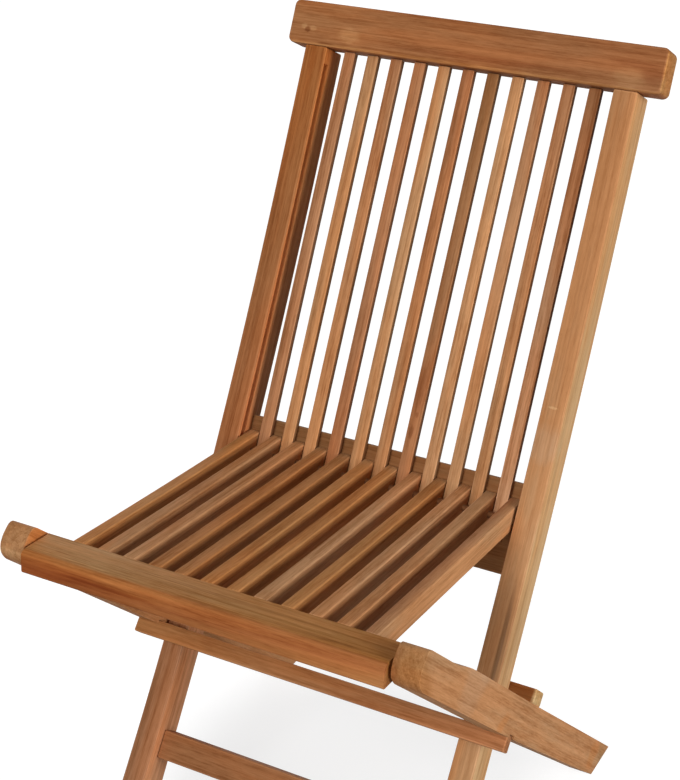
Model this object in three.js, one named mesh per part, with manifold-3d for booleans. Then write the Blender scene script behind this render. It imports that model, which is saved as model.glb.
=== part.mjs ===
// Folding teak garden chair, millimetres, +Z up, +X to the sitter's left, -Y in front.
// The chair is three frames that turn on each other: the back frame stands on the
// front feet, the leg frame crosses it and ends in the rear feet, and the seat
// joins the tops of the legs to the back.
import * as THREE from "three";
import { mergeVertices } from "three/addons/utils/BufferGeometryUtils.js";
import Module from "manifold-3d";

const wasm = await Module();
wasm.setup();

// Sizes that drive the whole chair
const frameWidth = 403;
const postWidth = 27;
const postDepth = 42.5;
const postFootDepth = 52;
const footFlareTop = 260;
const postHeight = 847;
const bendHeight = 890;
const bendRun = 528;
const bendLowShare = 0.449;
const bendHighShare = 0.732;
const jointGap = 0.3;
const edgeRound = 2;
const overrun = 60;

// Top rail, lower back rail and stretcher
const topRailOverhang = 25;
const topRailHeight = 50.2;
const topRailDepth = 34;
const topRailRound = 3;
const topRailCorner = 7;
const lowerRailTop = 454.5;
const lowerRailHeight = 102;
const lowerRailThickness = 12;
const stretcherHeight = 118.5;
const stretcherWidth = 32.5;
const stretcherThickness = 20;
const stretcherInset = 14;
const railTenon = 12;
const tenonShoulder = 4;
const postTenon = 30;
const postTenonDepth = 16;

// Back slats
const backSlatWidth = 14;
const backSlatThickness = 8.5;
const backSlatInsetLow = 17;
const backSlatInsetHigh = 14;
const backSlatLowCut = 34;
const slatTenon = 12;
const slatRound = 1.5;
const slatLevel = 434;

// Pivot of the crossed frames, seen from the side
const pivotHeight = 243;
const pivotInset = 17;
const legTilt = THREE.MathUtils.degToRad(42.1);
const legGap = 3;
const legThickness = 29;
const legUpper = 25;
const legFootUpper = 27.5;
const legUpperFront = 20.5;
const legLower = 19;
const legLowerFront = 17.5;
const legFootLower = 13;
const legHumpStart = 199;
const legHumpEnd = 266;
const legFront = 339;
const legFrontLower = 321;
const legFrontRound = 7;
const legBulge = 348;
const legBulgeDrop = 15;
const legRound = 3;

// Seat, measured from its hinge on the legs
const seatHingeForward = 234.4;
const seatHingeRise = 212;
const seatTilt = THREE.MathUtils.degToRad(5.2);
const seatSlatCount = 12;
const seatSlatWidth = 14;
const seatSlatHeight = 26;
const seatSlatSideGap = 2.5;
const seatTop = 14.8;
const seatSag = 1.2;
const seatRearGap = 3.5;
const seatRailFront = 31.5;
const seatRailBack = 14;
const seatRailThickness = 25.2;
const seatRailNose = 12;
const seatRailRound = 4;
const rodRadius = 4;
const rodInset = 8.5;
const rodDrop = 17;
const rodEndGap = 1.5;

// Cross rails of the leg frame
const crossRailSetback = 1.5;
const stopRailDepth = 15.5;
const stopRailThickness = 19.5;
const stopRailHousing = 3.5;
const rearRailDepth = 27.5;
const rearRailThickness = 16.5;
const stopGap = 0.5;

// Grooves and metal parts
const grooveDepth = 9;
const grooveSlack = 0.5;
const grooveTop = 830;
const boltRadius = 4;
const boltHeadRadius = 7;
const boltHeadHeight = 5;
const boltRecess = 6;
const boltReach = 22;
const insertRadius = 6.5;
const insertLength = 16;
const washerRadius = 11;
const washerSlack = 0.3;
const turnSlack = 0.08;
const pinReach = 18;
const screwRadius = 1.75;
const screwHeadRadius = 3.6;
const screwHeadHeight = 2.4;
const slatScrewLength = 18;
const slatScrewShare = 0.45;
const railScrewLength = 34;
const roundSides = 24;
const screwSides = 12;
const curveSteps = 14;
const cornerSteps = 3;

// Side of the chair as a sign on X
const leftSide = 1;
const rightSide = -1;

// A point of the side view: y runs back from the front feet, z runs up
function side(y, z) {
  return new THREE.Vector2(y, z);
}

// Front face of the bent posts at one height, as a cubic that starts at the foot
function postFront(z) {
  const t = z / bendHeight;
  const rest = 1 - t;
  const share = 3 * t * rest * rest * bendLowShare + 3 * t * t * rest * bendHighShare + t * t * t;
  return side(bendRun * share, z);
}

// Direction along the post at one height, pointing up
function postUp(z) {
  const step = bendHeight / curveSteps;
  const above = postFront(z + step);
  const below = postFront(z - step);
  return above.sub(below).normalize();
}

// Direction out of the back of the post at one height
function postBack(z) {
  const up = postUp(z);
  return side(up.y, -up.x);
}

// Point behind the front face of the post by some depth
function insidePost(z, depth) {
  return postFront(z).addScaledVector(postBack(z), depth);
}

// Height whose front point lies square in front of a side-view point
function heightInFront(point) {
  let z = point.y;
  for (let turn = 0; turn < curveSteps; turn += 1) {
    z += point.clone().sub(postFront(z)).dot(postUp(z)) * postUp(z).y;
  }
  return z;
}

// Straight line of the back slats' front faces
const slatFoot = insidePost(slatLevel, backSlatInsetLow);
const slatHead = insidePost(postHeight, backSlatInsetHigh);
const slatUp = slatHead.clone().sub(slatFoot).normalize();
const slatBack = side(slatUp.y, -slatUp.x);

function onSlatLine(z, depth) {
  const along = (z - slatFoot.y) / slatUp.y;
  return slatFoot.clone().addScaledVector(slatUp, along).addScaledVector(slatBack, depth);
}

// Pivot between posts and legs, a little in front of the middle of the post
function pivotPoint() {
  const middle = insidePost(pivotHeight, pivotInset);
  return insidePost(2 * pivotHeight - middle.y, pivotInset);
}

const pivot = pivotPoint();
const hinge = side(pivot.x - seatHingeForward, pivot.y + seatHingeRise);
const legForward = side(-Math.cos(legTilt), Math.sin(legTilt));
const legOver = side(Math.sin(legTilt), Math.cos(legTilt));
const seatBackward = side(Math.cos(seatTilt), -Math.sin(seatTilt));
const seatUpward = side(Math.sin(seatTilt), Math.cos(seatTilt));
const legInner = frameWidth / 2 + legGap;
const legOuter = legInner + legThickness;
const postInner = frameWidth / 2 - postWidth;
const topRailLength = frameWidth + 2 * topRailOverhang;
const crossRailLength = 2 * (legOuter - crossRailSetback);

// The seat slats fill the space between the posts, and the back slats stand between them
const slatField = 2 * (postInner - seatSlatSideGap) - seatSlatWidth;
const slatPitch = slatField / (seatSlatCount - 1);
const backSlatCount = seatSlatCount - 1;

// Places a point of the leg frame's own drawing in the side view, about the pivot
function onLeg(forward, over) {
  return side(0, 0).addScaledVector(legForward, forward).addScaledVector(legOver, over);
}

// Places a point of the seat's own drawing in the side view, about the hinge
function onSeat(backward, upward) {
  return side(0, 0).addScaledVector(seatBackward, backward).addScaledVector(seatUpward, upward);
}

// Turns a side-view shape into a board across X, with rounded long edges
function boardFrom(shape, from, to, round) {
  const geometry = new THREE.ExtrudeGeometry(cleanOutline(shape), {
    depth: to - from - 2 * round,
    bevelEnabled: round > 0,
    bevelThickness: round,
    bevelSize: round,
    bevelOffset: -round,
    bevelSegments: 2,
  });
  geometry.translate(0, 0, from + round);
  const acrossX = new THREE.Matrix4().makeBasis(
    new THREE.Vector3(0, 1, 0),
    new THREE.Vector3(0, 0, 1),
    new THREE.Vector3(1, 0, 0),
  );
  return geometry.applyMatrix4(acrossX);
}

// Board drawn as seen from the front, then laid on a slope behind its lower front edge
function facingBoard(outline, depth, round, foot, up) {
  const geometry = new THREE.ExtrudeGeometry(cleanOutline(outline), {
    depth: depth - 2 * round,
    bevelThickness: round,
    bevelSize: round,
    bevelOffset: -round,
    bevelSegments: 3,
  });
  geometry.translate(0, 0, round - depth);
  const ontoSlope = new THREE.Matrix4().makeBasis(
    new THREE.Vector3(1, 0, 0),
    new THREE.Vector3(0, up.x, up.y),
    new THREE.Vector3(0, -up.y, up.x),
  );
  geometry.applyMatrix4(ontoSlope);
  return geometry.translate(0, foot.x, foot.y);
}

// Rectangle in the side view, with rounded corners, from a corner and two directions
function roundedShape(corner, along, across, length, width, round) {
  const at = (a, b) => corner.clone().addScaledVector(along, a).addScaledVector(across, b);
  const shape = new THREE.Shape();
  const start = at(round, 0);
  shape.moveTo(start.x, start.y);
  const corners = [
    [at(length - round, 0), at(length, 0), at(length, round)],
    [at(length, width - round), at(length, width), at(length - round, width)],
    [at(round, width), at(0, width), at(0, width - round)],
    [at(0, round), at(0, 0), at(round, 0)],
  ];
  for (const [enter, tip, leave] of corners) {
    shape.lineTo(enter.x, enter.y);
    shape.quadraticCurveTo(tip.x, tip.y, leave.x, leave.y);
  }
  return shape;
}

// The same outline without repeated points, run anticlockwise
function cleanOutline(shape) {
  const points = shape.getPoints(cornerSteps).filter((point, index, all) => {
    const before = all[(index + all.length - 1) % all.length];
    return point.distanceTo(before) > jointGap / curveSteps;
  });
  if (THREE.ShapeUtils.area(points) < 0) {
    points.reverse();
  }
  return new THREE.Shape(points);
}

// Plain block in the side view, used for tenons and for the cuts that take them
function block(corner, along, across, length, width, from, to) {
  const points = [
    corner.clone(),
    corner.clone().addScaledVector(along, length),
    corner.clone().addScaledVector(along, length).addScaledVector(across, width),
    corner.clone().addScaledVector(across, width),
  ];
  return solid(boardFrom(new THREE.Shape(points), from, to, 0));
}

// Everything under the floor, at one level of the drawing, which saws a foot off flat
function underFloor(start, length, level, from, to) {
  const corner = side(start, level);
  const back = side(1, 0);
  const down = side(0, -1);
  return block(corner, back, down, length, 2 * overrun, from - overrun, to + overrun);
}

// Rod across X between two places
function rod(center, radius, from, to) {
  const geometry = new THREE.CylinderGeometry(radius, radius, to - from, roundSides);
  geometry.rotateZ(Math.PI / 2);
  geometry.translate((from + to) / 2, center.x, center.y);
  return solid(geometry);
}

// Closed solid for cutting and joining
function solid(geometry) {
  const plain = geometry.clone();
  plain.deleteAttribute("normal");
  plain.deleteAttribute("uv");
  const welded = mergeVertices(plain);
  return new wasm.Manifold(new wasm.Mesh({
    numProp: 3,
    vertProperties: new Float32Array(welded.attributes.position.array),
    triVerts: new Uint32Array(welded.index.array),
  }));
}

function geometryOf(body) {
  const mesh = body.getMesh();
  const geometry = new THREE.BufferGeometry();
  geometry.setAttribute("position", new THREE.BufferAttribute(new Float32Array(mesh.vertProperties), 3));
  geometry.setIndex(new THREE.BufferAttribute(new Uint32Array(mesh.triVerts), 1));
  geometry.computeVertexNormals();
  return geometry;
}

// Mirrors a pair of places on X for the left and the right side
function span(sign, inner, outer) {
  return sign > 0 ? [inner, outer] : [-outer, -inner];
}

function teak(name, body, color = 0xb07c4f) {
  const material = new THREE.MeshStandardMaterial({ color, roughness: 0.62, metalness: 0 });
  return named(name, body, material);
}

function brass(name, body) {
  const material = new THREE.MeshStandardMaterial({ color: 0xb08d4a, roughness: 0.35, metalness: 1 });
  return named(name, body, material);
}

function steel(name, body) {
  const material = new THREE.MeshStandardMaterial({ color: 0xb9bcbe, roughness: 0.3, metalness: 1 });
  return named(name, body, material);
}

function named(name, body, material) {
  const mesh = new THREE.Mesh(geometryOf(body), material);
  mesh.name = name;
  return mesh;
}

// Depth of the post at one height; it grows towards the foot
function postDepthAt(z) {
  const share = Math.max(0, 1 - z / footFlareTop);
  return postDepth + (postFootDepth - postDepth) * share * share;
}

// Outline of a strip that follows the bend of the post between two depths
function bentStrip(low, high, nearAt, farAt) {
  const front = [];
  const back = [];
  for (let step = 0; step <= curveSteps; step += 1) {
    const z = low + (high - low) * step / curveSteps;
    front.push(insidePost(z, nearAt(z)));
    back.unshift(insidePost(z, farAt(z)));
  }
  return new THREE.Shape([...back, ...front]);
}

// Centre of the rear rod of the seat when the chair is open
function rodOnSeat() {
  let z = slatLevel;
  for (let turn = 0; turn < curveSteps; turn += 1) {
    const point = insidePost(z, rodInset).sub(hinge);
    z += (seatTop - rodDrop - point.dot(seatUpward)) / seatUpward.y;
  }
  return insidePost(z, rodInset).sub(hinge);
}

const rodCenter = rodOnSeat();

// Tenon on top of a post, and with slack the mortise that takes it
function postTenonBlock(sign, slack) {
  const [from, to] = span(sign, postInner + tenonShoulder - slack, frameWidth / 2 - tenonShoulder + slack);
  const back = postBack(postHeight);
  const up = postUp(postHeight);
  const start = (topRailDepth - postTenonDepth) / 2;
  const corner = insidePost(postHeight, start - slack).addScaledVector(up, -edgeRound);
  return block(corner, up, back, postTenon + edgeRound + slack, postTenonDepth + 2 * slack, from, to);
}

// Tenon of the lower back rail in a post
function lowerRailBlock(from, to, slack) {
  const corner = onSlatLine(lowerRailTop, backSlatThickness + tenonShoulder / 2 - slack)
    .addScaledVector(slatUp, slack - tenonShoulder);
  const height = lowerRailHeight - 2 * tenonShoulder + 2 * slack;
  const depth = lowerRailThickness - tenonShoulder + 2 * slack;
  return block(corner, slatUp.clone().negate(), slatBack, height, depth, from, to);
}

// Tenon of the stretcher in a post
function stretcherBlock(from, to, slack) {
  const up = postUp(stretcherHeight);
  const corner = insidePost(stretcherHeight, stretcherInset + tenonShoulder - slack)
    .addScaledVector(up, tenonShoulder - slack);
  const height = stretcherWidth - 2 * tenonShoulder + 2 * slack;
  const depth = stretcherThickness - 2 * tenonShoulder + 2 * slack;
  return block(corner, up, postBack(stretcherHeight), height, depth, from, to);
}

// Long bent posts, with the groove for the rod, the bolt hole and the mortises
function makePost(name, sign) {
  const [from, to] = span(sign, postInner, frameWidth / 2);
  const outline = bentStrip(-overrun, postHeight, () => 0, postDepthAt);
  let body = solid(boardFrom(outline, from, to, edgeRound));
  body = body.add(postTenonBlock(sign, 0));
  body = body.subtract(underFloor(-overrun, bendRun, 0, from, to));
  const grooveReach = rodRadius + grooveSlack;
  const [grooveFrom, grooveTo] = span(sign, postInner - overrun, postInner + grooveDepth);
  const rodHeight = heightInFront(rodCenter.clone().add(hinge));
  const groove = bentStrip(
    rodHeight - grooveReach, grooveTop, () => rodInset - grooveReach, () => rodInset + grooveReach);
  body = body.subtract(solid(boardFrom(groove, grooveFrom, grooveTo, 0)));
  body = body.subtract(rod(pivot, boltRadius + turnSlack, from - overrun, to + overrun));
  const [recessFrom, recessTo] = span(sign, postInner - overrun, postInner + boltRecess);
  body = body.subtract(rod(pivot, boltHeadRadius + washerSlack, recessFrom, recessTo));
  const [mortiseFrom, mortiseTo] = span(sign, postInner - overrun, postInner + railTenon + jointGap);
  body = body.subtract(lowerRailBlock(mortiseFrom, mortiseTo, jointGap));
  body = body.subtract(stretcherBlock(mortiseFrom, mortiseTo, jointGap));
  return teak(name, body);
}

// One back slat with its tenon in the top rail; slack gives the mortise
function backSlatBlock(index, slack) {
  const middle = slatPitch * (index - (backSlatCount - 1) / 2);
  const half = backSlatWidth / 2 - slatRound + slack;
  const top = slatHead.clone().addScaledVector(slatBack, slatRound - slack).addScaledVector(slatUp, -slatRound);
  const depth = backSlatThickness - 2 * slatRound + 2 * slack;
  return block(top, slatUp, slatBack, slatTenon + slatRound + slack, depth, middle - half, middle + half);
}

function makeBackSlat(index) {
  const middle = slatPitch * (index - (backSlatCount - 1) / 2);
  const low = onSlatLine(lowerRailTop, 0).addScaledVector(slatUp, backSlatLowCut - lowerRailHeight);
  const length = slatHead.clone().sub(low).dot(slatUp) - jointGap;
  const shape = roundedShape(low, slatBack, slatUp, backSlatThickness, length, slatRound);
  const half = backSlatWidth / 2;
  const board = solid(boardFrom(shape, middle - half, middle + half, slatRound / 2));
  const body = board.add(backSlatBlock(index, 0)).subtract(slatScrew(index, turnSlack));
  const number = String(index + 1).padStart(2, "0");
  return teak(`BackSlat${number}`, body);
}

// Top rail, flush with the front of the posts and wider than them
function makeTopRail() {
  const up = postUp(postHeight);
  const corner = insidePost(postHeight, 0).addScaledVector(up, jointGap);
  const outline = roundedShape(
    side(-topRailLength / 2, 0), side(1, 0), side(0, 1), topRailLength, topRailHeight, topRailCorner);
  let body = solid(facingBoard(outline, topRailDepth, topRailRound, corner, up));
  for (const sign of [leftSide, rightSide]) {
    body = body.subtract(postTenonBlock(sign, jointGap));
  }
  for (let index = 0; index < backSlatCount; index += 1) {
    body = body.subtract(backSlatBlock(index, jointGap));
  }
  return teak("TopRail", body);
}

// Wide board behind the lower ends of the back slats
function makeLowerBackRail() {
  const half = postInner - jointGap;
  const corner = onSlatLine(lowerRailTop, backSlatThickness + jointGap);
  const shape = roundedShape(
    corner, slatBack, slatUp.clone().negate(), lowerRailThickness - jointGap, lowerRailHeight, slatRound);
  let body = solid(boardFrom(shape, -half, half, 0));
  body = body.add(lowerRailBlock(-postInner - railTenon, postInner + railTenon, 0));
  for (let index = 0; index < backSlatCount; index += 1) {
    body = body.subtract(slatScrew(index, turnSlack));
  }
  return teak("LowerBackRail", body);
}

// Stretcher low between the posts
function makeStretcher() {
  const half = postInner - jointGap;
  const up = postUp(stretcherHeight);
  const corner = insidePost(stretcherHeight, stretcherInset);
  const shape = roundedShape(
    corner, postBack(stretcherHeight), up, stretcherThickness, stretcherWidth, edgeRound);
  const body = solid(boardFrom(shape, -half, half, 0));
  return teak("Stretcher", body.add(stretcherBlock(-postInner - railTenon, postInner + railTenon, 0)));
}

// Outline of a leg about the pivot, from the top of its front end round to the foot
function legShape() {
  const shape = new THREE.Shape();
  const footReach = pivot.y / Math.sin(legTilt) + overrun;
  const start = onLeg(-footReach, legFootUpper);
  shape.moveTo(start.x, start.y);
  const shoulder = onLeg(0, legUpper);
  shape.lineTo(shoulder.x, shoulder.y);
  const hump = onLeg(legHumpStart, legUpper);
  shape.lineTo(hump.x, hump.y);
  const easeOut = onLeg((legHumpStart + legHumpEnd) / 2, legUpper);
  const easeIn = onLeg((legHumpStart + legHumpEnd) / 2, legUpperFront);
  const neck = onLeg(legHumpEnd, legUpperFront);
  shape.bezierCurveTo(easeOut.x, easeOut.y, easeIn.x, easeIn.y, neck.x, neck.y);
  const brow = onLeg(legFront - legFrontRound, legUpperFront);
  shape.lineTo(brow.x, brow.y);
  const tip = onLeg(legFront, legUpperFront);
  const bulge = onLeg(legBulge, -legBulgeDrop);
  const nose = tip.clone().addScaledVector(bulge.clone().sub(tip).normalize(), legFrontRound);
  shape.quadraticCurveTo(tip.x, tip.y, nose.x, nose.y);
  const chin = onLeg(legFrontLower, -legLowerFront);
  shape.quadraticCurveTo(bulge.x, bulge.y, chin.x, chin.y);
  const belly = onLeg(0, -legLower);
  shape.lineTo(belly.x, belly.y);
  const heel = onLeg(-footReach, -legFootLower);
  shape.lineTo(heel.x, heel.y);
  return shape;
}

// Crossing legs, outside the posts, with the hinge of the seat in their front ends
function makeLeg(name, sign) {
  const [from, to] = span(sign, legInner, legOuter);
  let body = solid(boardFrom(legShape(), from, to, legRound));
  body = body.subtract(underFloor(-bendRun, 2 * bendRun, -pivot.y, from, to));
  const [boltFrom, boltTo] = span(sign, legInner - overrun, legInner + boltReach + jointGap);
  body = body.subtract(rod(side(0, 0), boltRadius + turnSlack, boltFrom, boltTo));
  const [insertFrom, insertTo] = span(sign, legInner - overrun, legInner + insertLength);
  body = body.subtract(rod(side(0, 0), insertRadius + turnSlack, insertFrom, insertTo));
  const hingeOnLeg = hinge.clone().sub(pivot);
  const [pinFrom, pinTo] = span(sign, legInner - overrun, legInner + pinReach + jointGap);
  body = body.subtract(rod(hingeOnLeg, boltRadius + turnSlack, pinFrom, pinTo));
  body = body.subtract(solid(boardFrom(stopRailShape(jointGap), from - overrun, to + overrun, 0)));
  for (const screw of railScrewPlaces(sign)) {
    body = body.subtract(railScrew(screw, turnSlack));
  }
  return teak(name, body);
}

// Cross rail of the leg frame, about the pivot
function crossRailShape(forward, over, length, width) {
  return roundedShape(onLeg(forward, over), legForward, legOver, length, width, edgeRound);
}

// How far forward on the leg a face of the post lies at one level over the pivot
function postReach(over, depth) {
  let z = pivot.y;
  for (let turn = 0; turn < curveSteps; turn += 1) {
    const short = over - insidePost(z, depth).sub(pivot).dot(legOver);
    z += short * postUp(z).y / postUp(z).dot(legOver);
  }
  return insidePost(z, depth).sub(pivot).dot(legForward);
}

// The stop rail is let into the undersides of the legs, in front of the posts
const stopRailTop = stopRailHousing - legLower;
const stopRailBack = postReach(stopRailTop, 0) + stopGap;
const rearRailFront = postReach(legUpper, postDepth) - stopGap;

function stopRailShape(slack) {
  return crossRailShape(stopRailBack - slack, stopRailTop - stopRailThickness,
    stopRailDepth + 2 * slack, stopRailThickness + slack);
}

function makeStopRail() {
  return makeCrossRail("FrontCrossRail", stopRailShape(0));
}

function makeRearRail() {
  const shape = crossRailShape(
    rearRailFront - rearRailDepth, legUpper + jointGap, rearRailDepth, rearRailThickness);
  return makeCrossRail("RearCrossRail", shape);
}

function makeCrossRail(name, shape) {
  const half = crossRailLength / 2;
  let body = solid(boardFrom(shape, -half, half, edgeRound / 2));
  for (const sign of [leftSide, rightSide]) {
    for (const screw of railScrewPlaces(sign)) {
      body = body.subtract(railScrew(screw, turnSlack));
    }
  }
  return teak(name, body);
}

// Seat front rail with a rounded nose, about the hinge
function makeSeatRail() {
  const low = seatTop - seatRailThickness;
  const shape = new THREE.Shape();
  const add = (a, b) => shape.lineTo(onSeat(a, b).x, onSeat(a, b).y);
  const start = onSeat(seatRailBack, seatTop);
  shape.moveTo(start.x, start.y);
  add(-seatRailFront + seatRailNose, seatTop);
  const nose = onSeat(-seatRailFront, seatTop);
  const brow = onSeat(-seatRailFront, seatTop - seatRailNose / 2);
  shape.quadraticCurveTo(nose.x, nose.y, brow.x, brow.y);
  add(-seatRailFront, low + seatRailRound);
  const chin = onSeat(-seatRailFront, low);
  const under = onSeat(seatRailRound - seatRailFront, low);
  shape.quadraticCurveTo(chin.x, chin.y, under.x, under.y);
  add(seatRailBack, low);
  const half = frameWidth / 2;
  let body = solid(boardFrom(shape, -half, half, seatRailRound / 2));
  for (let index = 0; index < seatSlatCount; index += 1) {
    body = body.subtract(seatSlatTenon(index, jointGap));
  }
  for (const sign of [leftSide, rightSide]) {
    const [from, to] = span(sign, half - pinReach - jointGap, half + overrun);
    body = body.subtract(rod(side(0, 0), boltRadius + turnSlack, from, to));
  }
  return teak("SeatFrontRail", body);
}

function seatSlatMiddle(index) {
  return slatPitch * (index - (seatSlatCount - 1) / 2);
}

// Tenon of a seat slat in the front rail; slack gives the mortise
function seatSlatTenon(index, slack) {
  const half = seatSlatWidth / 2 - slatRound + slack;
  const low = seatTop - seatSlatHeight + tenonShoulder - slack;
  const corner = onSeat(seatRailBack - railTenon - slack, low);
  const height = seatSlatHeight - 2 * tenonShoulder + 2 * slack;
  const length = railTenon + tenonShoulder + slack;
  const middle = seatSlatMiddle(index);
  return block(corner, seatBackward, seatUpward, length, height, middle - half, middle + half);
}

// Seat slat, a little hollow on top, cut at the rear to the slope of the back
function makeSeatSlat(index) {
  const gapLine = onSlatLine(slatLevel, backSlatThickness - seatRearGap).sub(hinge);
  const rearAt = (upward) => {
    const reach = (upward - gapLine.dot(seatUpward)) / slatUp.dot(seatUpward);
    return gapLine.clone().addScaledVector(slatUp, reach).dot(seatBackward);
  };
  const low = seatTop - seatSlatHeight;
  const shape = new THREE.Shape();
  const add = (a, b) => shape.lineTo(onSeat(a, b).x, onSeat(a, b).y);
  const front = seatRailBack + jointGap;
  const start = onSeat(front, low);
  shape.moveTo(start.x, start.y);
  add(rearAt(low) - slatRound, low);
  add(rearAt(low + slatRound), low + slatRound);
  add(rearAt(seatTop - slatRound), seatTop - slatRound);
  add(rearAt(seatTop) - slatRound, seatTop);
  const sag = onSeat((front + rearAt(seatTop)) / 2, seatTop - 2 * seatSag);
  const end = onSeat(front, seatTop);
  shape.quadraticCurveTo(sag.x, sag.y, end.x, end.y);
  const half = seatSlatWidth / 2;
  const middle = seatSlatMiddle(index);
  let body = solid(boardFrom(shape, middle - half, middle + half, slatRound));
  body = body.add(seatSlatTenon(index, 0));
  body = body.subtract(rod(rodCenter, rodRadius + turnSlack, middle - seatSlatWidth, middle + seatSlatWidth));
  const number = String(index + 1).padStart(2, "0");
  return teak(`SeatSlat${number}`, body);
}

// Rod through the rear ends of the seat slats; its ends stop just inside the posts
function makeSeatRod() {
  const half = postInner - rodEndGap;
  return steel("SeatRod", rod(rodCenter, rodRadius, -half, half));
}

// Bolt of the crossed frames: head sunk in the post, thread in the leg
function makePivotBolt(name, sign) {
  const [shankFrom, shankTo] = span(sign, postInner + boltRecess - boltHeadHeight, legInner + boltReach);
  const [headFrom, headTo] = span(sign, postInner + boltRecess - boltHeadHeight - jointGap,
    postInner + boltRecess - jointGap);
  const shank = rod(side(0, 0), boltRadius, shankFrom, shankTo);
  return steel(name, shank.add(rod(side(0, 0), boltHeadRadius, headFrom, headTo)));
}

function makePivotInsert(name, sign) {
  const [from, to] = span(sign, legInner + jointGap, legInner + insertLength);
  const sleeve = rod(side(0, 0), insertRadius, from, to);
  return brass(name, sleeve.subtract(rod(side(0, 0), boltRadius + turnSlack, from - overrun, to + overrun)));
}

// Washer that keeps two turning boards apart
function makeWasher(name, sign) {
  const [from, to] = span(sign, frameWidth / 2 + washerSlack, legInner - washerSlack);
  const disc = rod(side(0, 0), washerRadius, from, to);
  return brass(name, disc.subtract(rod(side(0, 0), boltRadius + turnSlack, from - overrun, to + overrun)));
}

function makeSeatPin(name, sign) {
  const [from, to] = span(sign, frameWidth / 2 - pinReach, legInner + pinReach);
  return steel(name, rod(side(0, 0), boltRadius, from, to));
}

// Countersunk screw along a side-view direction, its head sunk a little below the start;
// with slack it gives the hole, which is open at the head
function countersunk(start, direction, x, length, slack) {
  const open = slack > 0 ? screwHeadHeight : 0;
  const profile = [
    new THREE.Vector2(0, jointGap - open),
    new THREE.Vector2(screwHeadRadius + slack, jointGap - open),
    new THREE.Vector2(screwHeadRadius + slack, jointGap),
    new THREE.Vector2(screwRadius + slack, screwHeadHeight),
    new THREE.Vector2(screwRadius + slack, length + slack),
    new THREE.Vector2(0, length + slack),
  ];
  const outline = profile.filter((point, index) => index === 0 || point.distanceTo(profile[index - 1]) > 0);
  const geometry = new THREE.LatheGeometry(outline, screwSides);
  const axis = new THREE.Vector3(0, direction.x, direction.y);
  geometry.applyQuaternion(new THREE.Quaternion().setFromUnitVectors(new THREE.Vector3(0, 1, 0), axis));
  geometry.translate(x, start.x, start.y);
  return solid(geometry);
}

// One screw holds each back slat from behind the lower rail
function slatScrew(index, slack) {
  const x = slatPitch * (index - (backSlatCount - 1) / 2);
  const back = backSlatThickness + lowerRailThickness;
  const start = onSlatLine(lowerRailTop, back).addScaledVector(slatUp, -lowerRailHeight * slatScrewShare);
  return countersunk(start, slatBack.clone().negate(), x, slatScrewLength, slack);
}

function makeSlatScrew(index) {
  const number = String(index + 1).padStart(2, "0");
  return brass(`SlatScrew${number}`, slatScrew(index, 0));
}

// Places of the screws that hold the cross rails on one leg
function railScrewPlaces(sign) {
  const x = sign * (legInner + legThickness / 2);
  const stopMiddle = stopRailBack + stopRailDepth / 2;
  const rearMiddle = rearRailFront - rearRailDepth / 2;
  const rise = legOver.clone();
  const fall = legOver.clone().negate();
  return [
    { x, start: onLeg(stopMiddle, stopRailTop - stopRailThickness), direction: rise },
    { x, start: onLeg(rearMiddle, legUpper + jointGap + rearRailThickness), direction: fall },
  ];
}

function railScrew(place, slack) {
  return countersunk(place.start, place.direction, place.x, railScrewLength, slack);
}

function makeBackFrame() {
  const group = new THREE.Group();
  group.name = "BackFrame";
  group.add(makePost("PostLeft", leftSide));
  group.add(makePost("PostRight", rightSide));
  group.add(makeTopRail());
  group.add(makeLowerBackRail());
  group.add(makeStretcher());
  for (let index = 0; index < backSlatCount; index += 1) {
    group.add(makeBackSlat(index));
    group.add(makeSlatScrew(index));
  }
  return group;
}

function makeLegFrame() {
  const group = new THREE.Group();
  group.name = "LegFrame";
  group.position.set(0, pivot.x, pivot.y);
  group.add(makeLeg("LegLeft", leftSide));
  group.add(makeLeg("LegRight", rightSide));
  group.add(makeStopRail());
  group.add(makeRearRail());
  for (const [label, sign] of [["Left", leftSide], ["Right", rightSide]]) {
    group.add(makePivotBolt(`PivotBolt${label}`, sign));
    group.add(makePivotInsert(`PivotInsert${label}`, sign));
    group.add(makeWasher(`PivotWasher${label}`, sign));
    const [stopScrew, rearScrew] = railScrewPlaces(sign);
    group.add(brass(`FrontRailScrew${label}`, railScrew(stopScrew, 0)));
    group.add(brass(`RearRailScrew${label}`, railScrew(rearScrew, 0)));
  }
  return group;
}

function makeSeat() {
  const group = new THREE.Group();
  group.name = "Seat";
  group.position.set(0, hinge.x, hinge.y);
  group.add(makeSeatRail());
  for (let index = 0; index < seatSlatCount; index += 1) {
    group.add(makeSeatSlat(index));
  }
  group.add(makeSeatRod());
  for (const [label, sign] of [["Left", leftSide], ["Right", rightSide]]) {
    group.add(makeSeatPin(`SeatPin${label}`, sign));
    group.add(makeWasher(`SeatWasher${label}`, sign));
  }
  return group;
}

// The origin is on the floor, under the middle of the chair
const chair = new THREE.Group();
chair.name = "FoldingChair";
chair.add(makeBackFrame(), makeLegFrame(), makeSeat());
chair.updateMatrixWorld(true);
const bounds = new THREE.Box3().setFromObject(chair, true);
const middle = bounds.getCenter(new THREE.Vector3());
chair.position.set(-middle.x, -middle.y, -bounds.min.z);

export default chair;
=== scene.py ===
# %% [markdown]
# # A folding teak chair
# This script dresses a folding garden chair for the camera. It is read from top to
# bottom like a notebook. The chair's solids are loaded first, and every piece made
# here sits where its solid sits, so the folding parts still turn on each other.
# Sizes are in metres, +Z is up, +X is the sitter's left and -Y is in front.

import math

import bmesh
import bpy
from mathutils import Matrix, Vector


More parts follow.
